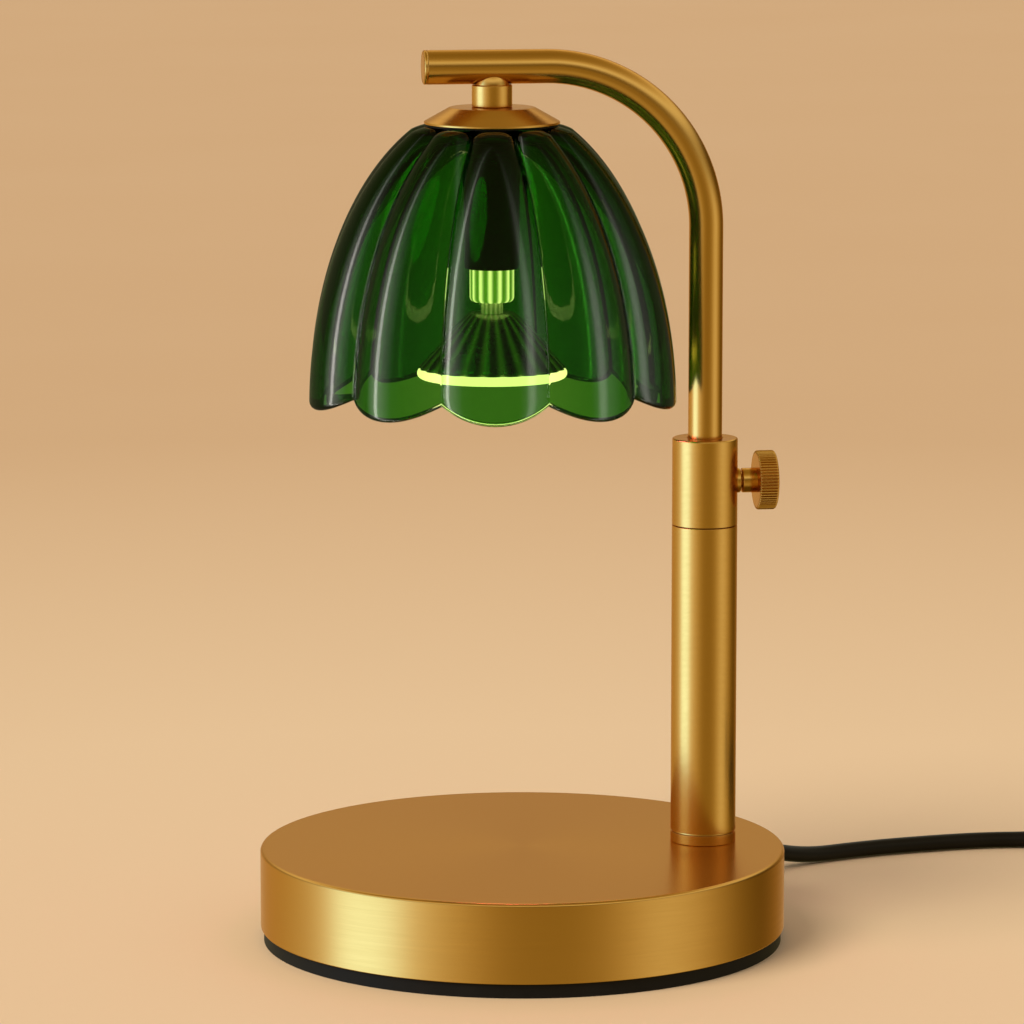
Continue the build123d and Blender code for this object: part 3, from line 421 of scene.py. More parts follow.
class Surface:
    """One material's node tree."""

    def __init__(self, owner):
        self.owner = owner
        owner.use_nodes = True
        self.tree = owner.node_tree
        self.tree.nodes.clear()

    def feed(self, socket, value):
        if isinstance(value, Term):
            self.tree.links.new(value.socket, socket)
        elif hasattr(value, "__len__") and socket.type == "RGBA" and len(value) == 3:
            socket.default_value = (*value, 1.0)
        else:
            socket.default_value = value

    def node(self, kind, settings=None, inputs=(), output=0):
        made = self.tree.nodes.new(kind)
        for name, value in (settings or {}).items():
            if name == "stops":
                self.set_stops(made.color_ramp, value)
            else:
                setattr(made, name, value)
        pairs = inputs.items() if isinstance(inputs, dict) else enumerate(inputs)
        for key, value in pairs:
            self.feed(made.inputs[key], value)
        return Term(self, made.outputs[output])

    @staticmethod
    def set_stops(ramp, stops):
        while len(ramp.elements) < len(stops):
            ramp.elements.new(1.0)
        for element, (place, tone) in zip(ramp.elements, stops):
            element.position = place
            element.color = (*tone, 1.0) if hasattr(tone, "__len__") else (tone, tone, tone, 1.0)

    def math(self, operation, *inputs, clamp=False):
        return self.node("ShaderNodeMath", {"operation": operation, "use_clamp": clamp}, inputs)

    def vector(self, operation, *inputs, output=0):
        return self.node("ShaderNodeVectorMath", {"operation": operation}, inputs, output)

    def joined(self, x, y, z):
        return self.node("ShaderNodeCombineXYZ", inputs=(x, y, z))

    def mix(self, factor, a, b, blend="MIX"):
        """A mix of two colours."""
        settings = {"data_type": "RGBA", "blend_type": blend}
        return self.node("ShaderNodeMix", settings, {0: factor, 6: a, 7: b}, output=2)

    def place(self, centre=None):
        """Where the surface's point is on the piece, or how far from a centre."""
        place = self.node("ShaderNodeTexCoord", output=3)
        return self.vector("SUBTRACT", place, centre) if centre else place

    def noise(self, scale, detail=2.0, roughness=0.5, at=None):
        inputs = {"Vector": at or self.place(), "Scale": scale, "Detail": detail, "Roughness": roughness}
        return self.node("ShaderNodeTexNoise", inputs=inputs)

    def ramp(self, value, *stops):
        return self.node("ShaderNodeValToRGB", {"stops": stops}, (value,))

    def bump(self, height, strength, distance):
        inputs = {"Strength": strength, "Distance": distance, "Height": height}
        return self.node("ShaderNodeBump", inputs=inputs)

    def principled(self, volume=None, **sockets):
        """Ends the tree in a Principled BSDF; a socket's name is written with _ for each space."""
        inputs = {name.replace("_", " "): value for name, value in sockets.items()}
        self.finish(self.node("ShaderNodeBsdfPrincipled", inputs=inputs), volume)
        return self.owner

    def finish(self, shader, volume=None, kind="ShaderNodeOutputMaterial"):
        end = self.tree.nodes.new(kind)
        self.tree.links.new(shader.socket, end.inputs["Surface"])
        if volume:
            self.tree.links.new(volume.socket, end.inputs["Volume"])


def surface(name):
    return Surface(bpy.data.materials.new(name))


# ---- Finishes: each is made once and shared

FINE_LINES = 2600.0  # brush lines per metre, finest
BROAD_LINES = 700.0
LINE_STRETCH = 0.012  # how much slower the lines change along their run
ROUND_DRIFT = 0.0024  # how far, in metres, the lines of a turned piece drift round it
LAMP_RIBS = 14  # round the lamp's glass base
REFLECTOR_FLUTES = 24
BRASS_SHINE = (1.0, 0.72, 0.55, 1.0)
WARM_SHINE = (1.0, 0.80, 0.50, 1.0)
BLACK_FINISHES = {
    # deep and worn tone, specular level, roughness and its spread,
    # wear noise, grain noise, relief's strength and depth
    "black_rubber": ((0.005, 0.005, 0.005), (0.014, 0.013, 0.012), 0.12, 0.50, 0.18,
                     (90.0, 4.0, 0.6), (2400.0, 3.0, 0.6), 0.25, 0.04 * MM),
    "cord_sheath": ((0.004, 0.004, 0.004), (0.010, 0.009, 0.008), 0.14, 0.34, 0.14,
                    (60.0, 3.0, 0.6), (1500.0, 2.0, 0.5), 0.12, 0.03 * MM),
    "moulded_plastic": ((0.006, 0.006, 0.006), (0.014, 0.013, 0.012), 0.25, 0.38, 0.12,
                        (70.0, 3.0, 0.6), (3200.0, 2.0, 0.6), 0.35, 0.03 * MM),
}
PLAIN_FINISHES = {
    # tone, metallic, roughness, grain's scale
    "zinc_steel": ((0.62, 0.61, 0.57), 1.0, 0.34, 1400.0),
    "white_nylon": ((0.80, 0.79, 0.74), 0.0, 0.45, 1800.0),
    "white_ceramic": ((0.86, 0.84, 0.79), 0.0, 0.22, 700.0),
    "ballast_iron": ((0.06, 0.06, 0.058), 0.3, 0.62, 650.0),
    "pin_brass": ((0.74, 0.56, 0.26), 1.0, 0.28, 1500.0),
    "nickel_pins": ((0.72, 0.70, 0.65), 1.0, 0.20, 1500.0),
    "lead_sheath": ((0.72, 0.70, 0.64), 0.0, 0.5, 1600.0),
    "circuit_board": ((0.03, 0.17, 0.07), 0.0, 0.35, 1300.0),
}


def brass_from(face, across):
    """Brushed, lacquered brass whose brush lines cross the given vector."""
    finish = bpy.context.scene.lamp_brass
    lines = face.noise(FINE_LINES, 3.0, 0.6, across) * 0.6 + face.noise(BROAD_LINES, 2.0, 0.5, across) * 0.4
    cloud = face.noise(26.0, 3.0, 0.55)
    tone_mask = (lines - 0.5) * 0.9 + (cloud - 0.5) * 0.35 + 0.25
    rough = (lines - 0.5) * 0.10 + (cloud - 0.5) * 0.06 + finish.roughness
    return face.principled(
        Base_Color=face.mix(tone_mask.clamped(), tuple(finish.tone), tuple(finish.dark_tone)),
        Metallic=1.0,
        Roughness=rough.clamped(),
        Anisotropic=0.45,
        Specular_Tint=BRASS_SHINE,
        Normal=face.bump(lines, finish.grain, 0.05 * MM),
    )


@cache
def turned_brass(x):
    """Brass brushed round the upright axis at x."""
    face = surface("brushed_brass_round_%d" % round(x / MM))
    from_axis = face.place((x, 0.0, 0.0))
    flat = face.vector("MULTIPLY", from_axis, (1.0, 1.0, 0.0))
    reach = face.vector("LENGTH", flat, output=1)
    drift = face.vector("MULTIPLY", face.vector("NORMALIZE", flat), (ROUND_DRIFT,) * 3)
    return brass_from(face, face.vector("ADD", face.joined(reach, from_axis.part("Z"), 0.0), drift))


@cache
def level_brass(name, height):
    """Brass turned about a level axis along X."""
    face = surface(name)
    from_axis = face.place((0.0, 0.0, height))
    reach = face.vector("LENGTH", face.vector("MULTIPLY", from_axis, (0.0, 1.0, 1.0)), output=1)
    return brass_from(face, face.joined(reach, from_axis.part("X"), 0.0))


def knob_brass():
    return level_brass("turned_brass_knob", SCREW_HEIGHT)


@cache
def drawn_brass():
    """Brass brushed along the arm, whose mesh holds the straightened place of each point."""
    face = surface("brushed_brass_arm")
    grain = face.node("ShaderNodeAttribute", {"attribute_name": "grain"}, output=1)
    return brass_from(face, face.vector("MULTIPLY", grain, (LINE_STRETCH, 1.0, 1.0)))


@cache
def black_finish(name):
    """Black rubber, sheath or plastic: a little wear and a fine moulded grain."""
    deep, worn, specular, roughness, spread, wear_noise, grain_noise, strength, depth = BLACK_FINISHES[name]
    face = surface(name)
    wear = face.noise(*wear_noise)
    return face.principled(
        Base_Color=face.mix(wear, deep, worn),
        Roughness=(wear * spread + roughness).clamped(),
        Specular_IOR_Level=specular,
        Specular_Tint=WARM_SHINE,
        Normal=face.bump(face.noise(*grain_noise), strength, depth),
    )


@cache
def plain_finish(name):
    """A finish for the pieces inside: two close tones, a fine grain and an uneven shine."""
    tone, metallic, roughness, grain_scale = PLAIN_FINISHES[name]
    face = surface(name)
    cloud = face.noise(75.0, 3.0, 0.6)
    grain = face.noise(grain_scale, 2.0, 0.6)
    return face.principled(
        Base_Color=face.mix(cloud, tone, tuple(c * 0.78 for c in tone)),
        Metallic=metallic,
        Roughness=(cloud * 0.16 + grain * 0.08 + roughness - 0.1).clamped(),
        Normal=face.bump(grain, 0.15, 0.04 * MM),
    )


@cache
def woven_strap():
    """Black woven strap, ribbed across its width and fluffy in its loops."""
    face = surface("woven_strap")
    ribs = face.math("SINE", face.place().part("Y") * 5200.0)
    crossing = face.math("SINE", face.place().part("X") * 3600.0)
    fluff = face.noise(2600.0, 4.0, 0.7)
    weave = ribs * 0.3 + crossing * 0.2 + fluff * 0.6
    return face.principled(
        Base_Color=face.mix((weave * 0.6 + 0.2).clamped(), (0.004, 0.004, 0.004), (0.022, 0.021, 0.020)),
        Roughness=(fluff * 0.2 + 0.72).clamped(),
        Specular_IOR_Level=0.2,
        Specular_Tint=WARM_SHINE,
        Normal=face.bump(weave, 0.6, 0.10 * MM),
    )


@cache
def green_glass():
    """Deep green pressed glass with a faint waviness."""
    finish = bpy.context.scene.lamp_glass
    face = surface("green_glass")
    deep = tuple(c * 0.94 for c in finish.tone)
    return face.principled(
        face.node("ShaderNodeVolumeAbsorption", inputs=(tuple(finish.absorption), finish.density)),
        Base_Color=face.mix(face.noise(12.0, 2.0, 0.4), tuple(finish.tone), deep),
        Roughness=0.0,
        IOR=1.5,
        Transmission_Weight=1.0,
        Normal=face.bump(face.noise(34.0, 2.0, 0.4), 0.04, 0.6 * MM),
    )


@cache
def dark_enamel():
    """Satin black enamel of the lamp holder."""
    face = surface("dark_enamel")
    orange_peel = face.noise(900.0)
    return face.principled(
        Base_Color=face.mix(face.noise(80.0, 3.0), (0.012, 0.013, 0.012), (0.03, 0.03, 0.028)),
        Roughness=(orange_peel * 0.2 + 0.22).clamped(),
        Normal=face.bump(orange_peel, 0.1, 0.05 * MM),
    )


def around_shade(face, count):
    """Waves round the shade's axis, from 0 to 1."""
    from_axis = face.place((SHADE_X, 0.0, 0.0))
    bar = face.math("COSINE", face.math("ARCTAN2", from_axis.part("Y"), from_axis.part("X")) * (count / 2))
    return bar * bar


@cache
def glowing_glass(part):
    """Lit glass of a part of the lamp, with bright bars round the ribbed base and the neck."""
    glow = bpy.context.scene.lamp_glow
    strengths = {"base": glow.base_strength, "ring": glow.ring_strength, "lens": glow.lens_strength}
    face = surface("glowing_" + part)
    cloud = face.noise(160.0)
    tone = tuple(glow.lens_tone if part == "lens" else glow.tone)
    light = face.mix(cloud * 0.6, tone, tuple(c * 0.9 for c in tone))
    if part in ("base", "neck"):
        light = face.mix(around_shade(face, LAMP_RIBS) ** 2.0, (0.06, 0.03, 0.01), light)
    return face.principled(
        Base_Color=(0.9, 0.86, 0.7),
        Roughness=(cloud * 0.1 + 0.15).clamped(),
        Emission_Color=light,
        Emission_Strength=strengths.get(part, glow.base_strength / 7),
    )


@cache
def lamp_glass():
    """Clear glass of the lamp's bulb."""
    face = surface("lamp_glass")
    return face.principled(
        Base_Color=(0.97, 0.95, 0.88),
        Roughness=0.04,
        IOR=1.47,
        Transmission_Weight=1.0,
        Normal=face.bump(face.noise(300.0), 0.05, 0.1 * MM),
    )


@cache
def reflector_coat():
    """The reflector's coating, which lets a little of the lamp's light out between its flutes."""
    face = surface("reflector_coat")
    cloud = face.noise(120.0, 3.0, 0.6)
    flute = around_shade(face, REFLECTOR_FLUTES)
    return face.principled(
        Base_Color=face.mix(cloud, (0.20, 0.20, 0.18), (0.30, 0.29, 0.25)),
        Metallic=0.85,
        Roughness=(cloud * 0.06 + 0.24).clamped(),
        Emission_Color=face.mix(flute ** 2.0 * (cloud + 0.3), (0.0, 0.0, 0.0), (0.52, 0.40, 0.12)),
        Emission_Strength=0.5,
    )


# ---- Operators


class LampOperator:
    """What the operators of this file share"""

    bl_options = {"REGISTER", "UNDO"}

    def execute(self, context):
        self.build(context.scene)
        return {"FINISHED"}


class AddBase(LampOperator, bpy.types.Operator):
    """Add the brushed brass shell of the base"""

    bl_idname = "candle_lamp.base"
    bl_label = "Base"

    TOP_EDGE = 1.1 * MM
    FOOT_EDGE = 0.35 * MM
    WALL = 1.6 * MM
    ROOF = 2.0 * MM

    def build(self, scene):
        foot, ceiling = low("base_shell").z, BASE_TOP - self.ROOF
        inner = BASE_RADIUS - self.WALL
        profile = [(0.0, BASE_TOP), (BASE_RADIUS * 0.5, BASE_TOP)]
        profile += [(BASE_RADIUS - 2 * self.TOP_EDGE, BASE_TOP)]
        profile += corner(BASE_RADIUS, BASE_TOP, self.TOP_EDGE, 90, 0, 8)
        profile += corner(BASE_RADIUS, foot, self.FOOT_EDGE, 0, -90, 3)
        profile += [(inner, foot), (inner, ceiling), (0.0, ceiling)]
        shell = spun(profile, steps=256, closed=False)
        piece("base_cover", shell, turned_brass(0.0), "base", "base_shell", flat=True)


class AddPole(LampOperator, bpy.types.Operator):
    """Add the pole's foot ring, tube and clamping collar"""

    bl_idname = "candle_lamp.pole"
    bl_label = "Pole"

    RING_BORE = 5.02 * MM
    RING_NICK = 0.2 * MM
    GROOVE = 0.6 * MM
    GROOVE_DEPTH = 0.8 * MM
    TUBE_WALL = 1.2 * MM
    INSIDE = POLE_RADIUS - TUBE_WALL - 0.06 * MM  # of what stands in the tube
    SPLIT = 0.4 * MM
    COLLAR_EDGE = 0.6 * MM
    COLLAR_BORE = ARM_RADIUS + 0.2 * MM
    LIP = 3.0 * MM
    NICK = 0.3 * MM
    BUSH_RADIUS = 7.28 * MM
    BOSS_RADIUS = 4.0 * MM
    BOSS_EDGE = 0.5 * MM
    BOSS_DEPTH = 1.2 * MM  # how far the boss reaches into the collar
    SCREW_BORE = 2.56 * MM

    def build(self, scene):
        self.foot_ring()
        self.tube()
        self.collar()

    def foot_ring(self):
        foot, seat, top = BASE_TOP, low("pole_tube").z, high("pole_foot").z
        sunk, groove_foot = POLE_RADIUS - self.GROOVE_DEPTH, seat - self.GROOVE
        profile = [(self.RING_BORE, foot), (POLE_RADIUS - self.RING_NICK, foot)]
        profile += [(POLE_RADIUS, foot + self.RING_NICK), (POLE_RADIUS, groove_foot)]
        profile += [(sunk, groove_foot), (sunk, seat)]
        profile += [(self.INSIDE, seat), (self.INSIDE, top), (self.RING_BORE, top)]
        ring = spun(profile, POLE_X)
        piece("pole_foot_ring", ring, turned_brass(POLE_X), "base", "pole_foot", edge=0.08 * MM)

    def tube(self):
        foot, top, inner = low("pole_tube").z, high("pole_tube").z, POLE_RADIUS - self.TUBE_WALL
        profile = [(inner, foot), (POLE_RADIUS, foot), (POLE_RADIUS, top), (inner, top)]
        tube = spun(profile, POLE_X)
        piece("pole_tube_skin", tube, turned_brass(POLE_X), "base", "pole_tube", edge=0.15 * MM)

    def collar(self):
        """The collar above its split line, with the boss that the thumbscrew passes through."""
        foot, seat, top = low("clamp_collar").z, high("pole_tube").z, high("clamp_collar").z
        split, sunk = seat + self.SPLIT, POLE_RADIUS - self.SPLIT
        profile = [(self.BUSH_RADIUS, foot), (self.INSIDE, foot), (self.INSIDE, seat)]
        profile += [(sunk, seat), (sunk, split), (POLE_RADIUS, split)]
        profile += corner(POLE_RADIUS, top, self.COLLAR_EDGE, 0, 90, 6)
        profile += [(self.COLLAR_BORE + self.NICK, top), (self.COLLAR_BORE, top - self.NICK)]
        profile += [(self.COLLAR_BORE, top - self.LIP), (self.BUSH_RADIUS, top - self.LIP)]
        reach, start = high("clamp_collar").x - POLE_X, POLE_RADIUS - self.BOSS_DEPTH
        boss = [(self.SCREW_BORE, start), (self.BOSS_RADIUS, start)]
        boss += corner(self.BOSS_RADIUS, reach, self.BOSS_EDGE, 0, 90, 5)
        boss += [(self.SCREW_BORE + self.NICK, reach), (self.SCREW_BORE, reach - self.NICK)]
        thread = [(0.0, 0.0), (self.SCREW_BORE, 0.0), (self.SCREW_BORE, reach), (0.0, reach)]
        bore = along_x(spun(thread, steps=48, closed=False), POLE_X, SCREW_HEIGHT)
        whole = joined(
            carved(spun(profile, POLE_X), bore), along_x(spun(boss, steps=64), POLE_X, SCREW_HEIGHT)
        )
        piece("clamp_collar_body", whole, turned_brass(POLE_X), "base", "clamp_collar", flat=True)


class AddThumbscrew(LampOperator, bpy.types.Operator):
    """Add the thumbscrew: its shoulder and its straight-knurled knob"""

    bl_idname = "candle_lamp.thumbscrew"
    bl_label = "Thumbscrew"

    SHANK = 2.5 * MM
    SHANK_NICK = 0.4 * MM
    SHOULDER = 4.0 * MM
    SHOULDER_EDGE = 0.5 * MM
    SHOULDER_GAP = 0.45 * MM  # to the collar's boss
    KNURLS = 60
    KNURL_DEPTH = 0.75 * MM
    STEPS_PER_KNURL = 8
    FACE_EDGE = 0.7 * MM
    END_EDGE = 0.9 * MM
    DISH = 0.25 * MM

    def build(self, scene):
        self.shank()
        self.knob()

    def shank(self):
        start, end = low("thumb_screw").x, high("thumb_screw").x
        shoulder_start, shoulder_end = high("clamp_collar").x + self.SHOULDER_GAP, low("thumb_knob").x
        profile = [(0.0, start), (self.SHANK - self.SHANK_NICK, start), (self.SHANK, start + self.SHANK_NICK)]
        profile += [(self.SHANK, shoulder_start)]
        profile += corner(self.SHOULDER, shoulder_start, self.SHOULDER_EDGE, -90, 0, 5)
        profile += [(self.SHOULDER, shoulder_end), (self.SHANK, shoulder_end), (self.SHANK, end), (0.0, end)]
        bm = along_x(spun(profile, steps=64, closed=False), 0.0, SCREW_HEIGHT)
        piece("thumbscrew_shank", bm, knob_brass(), "thumbscrew", "thumb_screw", flat=True)

    def knob(self):
        start = low("thumb_knob").x
        width, radius = high("thumb_knob").x - start, half_height("thumb_knob")
        profile = [(0.0, 0.0), (4.2 * MM, 0.0), (radius - 1.6 * MM, 0.0)]
        profile += corner(radius, 0.0, self.FACE_EDGE, -90, 0, 5)
        profile += [(radius, width * 0.3), (radius, width * 0.5), (radius, width * 0.7)]
        profile += corner(radius, width, self.END_EDGE, 0, 90, 6)
        profile += [(radius - 2.0 * MM, width), (radius - 2.6 * MM, width - self.DISH)]
        profile += [(0.0, width - self.DISH)]
        bm = spun(profile, steps=self.KNURLS * self.STEPS_PER_KNURL, closed=False)
        bm = fluted(bm, self.KNURLS, self.KNURL_DEPTH, radius - 1.1 * MM, radius)
        bm = along_x(bm, start, SCREW_HEIGHT)
        piece("knurled_knob", bm, knob_brass(), "thumbscrew", "thumb_knob")


class AddArm(LampOperator, bpy.types.Operator):
    """Add the bent arm tube and its end cap"""

    bl_idname = "candle_lamp.arm"
    bl_label = "Arm"

    BEND_RADIUS = 52.0 * MM
    BEND_X = POLE_X - BEND_RADIUS
    BEND_Z = ARM_HEIGHT - BEND_RADIUS
    WALL = 1.0 * MM
    AROUND = 64
    BEND_STEPS = 96

    def build(self, scene):
        self.tube()
        self.end_cap()

    def tube(self):
        """A circle drawn out along X, spun through the bend and drawn down into the pole."""
        start, foot = low("arm_tube").x, low("arm_tube").z
        bm = bmesh.new()
        bmesh.ops.create_circle(bm, segments=self.AROUND, radius=ARM_RADIUS)
        along_x(bm, start, ARM_HEIGHT)
        ends = drawn(bm, list(bm.edges), Vector((self.BEND_X - start, 0.0, 0.0)), 12)
        spin = bmesh.ops.spin(
            bm, geom=ends, cent=(self.BEND_X, 0.0, self.BEND_Z), axis=(0, 1, 0), angle=TURN / 4,
            steps=self.BEND_STEPS,
        )
        ends = [g for g in spin["geom_last"] if isinstance(g, bmesh.types.BMEdge)]
        drawn(bm, ends, Vector((0.0, 0.0, foot - self.BEND_Z)), 24)
        bmesh.ops.remove_doubles(bm, verts=bm.verts, dist=WELD)
        bmesh.ops.recalc_face_normals(bm, faces=bm.faces)
        skin = piece(
            "arm_tube_skin", bm, drawn_brass(), "arm", "arm_tube", wall=self.WALL, edge=0.1 * MM, angle=60
        )
        skin.modifiers["Wall"].use_even_offset = True
        grain = skin.data.attributes.new("grain", "FLOAT_VECTOR", "POINT")
        for vert, place in zip(skin.data.vertices, grain.data):
            place.vector = self.straightened(vert.co)

    def straightened(self, place):
        """A point's place on the tube before it was bent: along it, then its two offsets from the middle."""
        aside, above = place.x - self.BEND_X, place.z - self.BEND_Z
        if aside < 0:
            return (aside, place.y, place.z - ARM_HEIGHT)
        if above < 0:
            return (self.BEND_RADIUS * TURN / 4 - above, place.y, place.x - POLE_X)
        reach = math.hypot(aside, above)
        return (math.atan2(aside, above) * self.BEND_RADIUS, place.y, reach - self.BEND_RADIUS)

    def end_cap(self):
        """A flush disc with a fine ring near its edge and a plug inside the tube."""
        face, seat, end = -low("arm_end_cap").x, -low("arm_tube").x, -high("arm_end_cap").x
        edge, groove, plug = 0.35 * MM, 0.08 * MM, ARM_RADIUS - self.WALL - 0.02 * MM
        profile = [(0.0, face), (ARM_RADIUS - 1.15 * MM, face), (ARM_RADIUS - 1.05 * MM, face - groove)]
        profile += [(ARM_RADIUS - 0.85 * MM, face - groove), (ARM_RADIUS - 0.75 * MM, face)]
        profile += [(ARM_RADIUS - edge, face), (ARM_RADIUS, face - edge), (ARM_RADIUS, seat)]
        profile += [(plug, seat), (plug, end), (0.0, end)]
        disc = moved(spun(profile, steps=96, closed=False), (0.0, 0.0, ARM_HEIGHT), math.radians(-90), "Y")
        brass = level_brass("turned_brass_arm_end", ARM_HEIGHT)
        piece("arm_end_disc", disc, brass, "arm", "arm_end_cap", flat=True)


class AddNeck(LampOperator, bpy.types.Operator):
    """Add the sleeve and cap that carry the shade under the arm, and finish their saddle"""

    bl_idname = "candle_lamp.neck"
    bl_label = "Neck and cap"

    BORE = 4.02 * MM
    SLEEVE_EDGE = 0.3 * MM
    CAP_BORE = 4.25 * MM
    CAP_FLAT = 13.7 * MM
    CAP_WALL = 1.0 * MM
    CAP_EDGE = 0.3 * MM
    CAP_RIM = 0.9 * MM

    def build(self, scene):
        self.sleeve()
        self.cap()
        refinish("neck_saddle", turned_brass(SHADE_X))

    def sleeve(self):
        bottom, top = low("neck_sleeve").z, high("neck_sleeve").z
        radius, edge = half_width("neck_sleeve"), self.SLEEVE_EDGE
        profile = [(self.BORE, bottom), (radius - edge, bottom), (radius, bottom + edge)]
        profile += [(radius, top - edge), (radius - edge, top), (self.BORE, top)]
        bm = spun(profile, SHADE_X, steps=96)
        piece("neck_sleeve_skin", bm, turned_brass(SHADE_X), "arm", "neck_sleeve", edge=0.1 * MM, angle=25)

    def cap(self):
        bottom, top, rim = low("shade_cap").z, high("shade_cap").z, half_width("shade_cap")
        rim_top, inner, ceiling = bottom + self.CAP_RIM, rim - self.CAP_WALL, top - self.CAP_WALL
        flat, half_wall = self.CAP_FLAT, self.CAP_WALL / 2
        profile = [(self.CAP_BORE, top), (flat - 0.8 * MM, top), (flat, top - 0.12 * MM)]
        profile += [(rim - 0.35 * MM, rim_top + 0.1 * MM), (rim, rim_top - 0.15 * MM)]
        profile += corner(rim, bottom, self.CAP_EDGE, 0, -90, 3)
        profile += [(inner, bottom), (inner, rim_top - half_wall)]
        profile += [(flat - half_wall, ceiling), (self.CAP_BORE, ceiling)]
        bm = spun(profile, SHADE_X, steps=160)
        piece("shade_cap_cone", bm, turned_brass(SHADE_X), "arm", "shade_cap", edge=0.12 * MM, angle=12)


class AddShade(LampOperator, bpy.types.Operator):
    """Add the petal shade of green glass"""

    bl_idname = "candle_lamp.shade"
    bl_label = "Glass shade"

    STEPS_PER_LOBE = 24
    SKIN_ROWS = 44
    SHOULDER_ROWS = 6
    RIM_ROWS = 10
    FULL_LOBE = 1.2  # the most that a petal bulges, as a share of half the distance between its grooves
    HOLE_RADIUS = 5.5 * MM
    SHOULDER = 1.6 * MM
    CROWDING = 0.85  # how much closer the columns stand towards a groove

    def build(self, scene):
        """Spins a plain ring of rows and then lays each point at its place on the petals."""
        self.shape = scene.lamp_glass
        self.foot = low("glass_shade").z
        self.height = high("glass_shade").z - self.foot
        self.half = math.pi / self.shape.lobes
        rows = self.rows()
        bm = bmesh.new()
        layer = bm.verts.layers.int.new("row")
        chain(bm, [(1.0, float(k)) for k in range(len(rows))], closed=True)
        for k, vert in enumerate(bm.verts):
            vert[layer] = k
        turned_round(bm, self.shape.lobes * self.STEPS_PER_LOBE)
        for vert in bm.verts:
            vert.co = self.laid(math.atan2(vert.co.y, vert.co.x), rows[vert[layer]])
        bm.verts.layers.int.remove(layer)
        bmesh.ops.remove_doubles(bm, verts=bm.verts, dist=WELD)
        bmesh.ops.recalc_face_normals(bm, faces=bm.faces)
        piece("petal_shade", bm, green_glass(), "arm", "glass_shade")

    def laid(self, around, row):
        """A point's place, from its angle round the shade and the row that it is in."""
        lobe = round(around / (2 * self.half))
        aside = max(-1.0, min(1.0, (around - 2 * self.half * lobe) / self.half))
        aside = (self.CROWDING * math.sin(aside * TURN / 4) + (1 - self.CROWDING) * aside) * self.half
        around = 2 * self.half * lobe + aside + self.shape.turn
        radius, height = row(aside)
        return (SHADE_X + radius * math.cos(around), radius * math.sin(around), self.foot + height)

    def rows(self):
        """How each row of the section lies at an angle from its petal's middle, as (radius, height)."""
        wall = self.shape.wall
        shares = [math.sin(TURN / 4 * k / self.SKIN_ROWS) for k in range(self.SKIN_ROWS + 1)]
        outer_top, inner_top = self.height - self.SHOULDER, self.height - wall
        rows = [lambda a, t=share_up: self.skin(a, 0.0, t, outer_top) for share_up in shares]
        for k in range(1, self.SHOULDER_ROWS + 1):
            rows.append(lambda a, s=TURN / 4 * k / self.SHOULDER_ROWS: self.shoulder(a, s))
        rows.append(lambda a: (self.HOLE_RADIUS, self.height))
        rows.append(lambda a: (self.HOLE_RADIUS, inner_top))
        rows += [lambda a, t=share_up: self.skin(a, wall, t, inner_top) for share_up in reversed(shares)]
        for k in range(1, self.RIM_ROWS):
            rows.append(lambda a, s=TURN / 2 * k / self.RIM_ROWS: self.rim(a, s))
        return rows

    def lobed(self, aside, inset, height):
        """Radius at an angle from the petal's middle: an arc from groove over crest to groove."""
        shape = self.shape
        groove = self.bell(shape.groove_radius - inset, shape.groove_rise - inset, height)
        fullest = groove * (math.cos(self.half) + self.FULL_LOBE * math.sin(self.half))
        crest = min(self.bell(shape.crest_radius - inset, shape.crest_rise - inset, height), fullest)
        centre = (groove**2 - crest**2) / (2 * (groove * math.cos(self.half) - crest))
        return centre * math.cos(aside) + math.sqrt((crest - centre) ** 2 - (centre * math.sin(aside)) ** 2)

    @staticmethod
    def bell(radius, rise, height):
        return radius * math.sqrt(1.0 - (height / rise) ** 2)

    def rim_height(self, aside):
        """Height of the scalloped rim's underside, as the round end of each petal gives it."""
        scallop, half_chord = self.shape.scallop, self.shape.groove_radius * math.sin(self.half)
        radius = (half_chord**2 + scallop**2) / (2 * scallop)
        across = self.lobed(aside, 0.0, 0.0) * math.sin(aside)
        return radius - math.sqrt(max(0.0, radius**2 - across**2))

    def skin(self, aside, inset, share_up, top):
        start = self.rim_height(aside) + self.shape.wall / 2
        height = start + (top - start) * share_up
        return self.lobed(aside, inset, height), height

    def shoulder(self, aside, slope):
        height = self.height - self.SHOULDER * (1.0 - math.sin(slope))
        return self.lobed(aside, 0.0, height) - self.SHOULDER * (1.0 - math.cos(slope)), height

    def rim(self, aside, slope):
        """The half-round edge from the inner skin down and out to the outer skin."""
        half_wall = self.shape.wall / 2
        start = self.rim_height(aside) + half_wall
        outer, inner = self.lobed(aside, 0.0, start), self.lobed(aside, self.shape.wall, start)
        radius = (outer + inner) / 2 - (outer - inner) / 2 * math.cos(slope)
        return radius, start - half_wall * math.sin(slope)


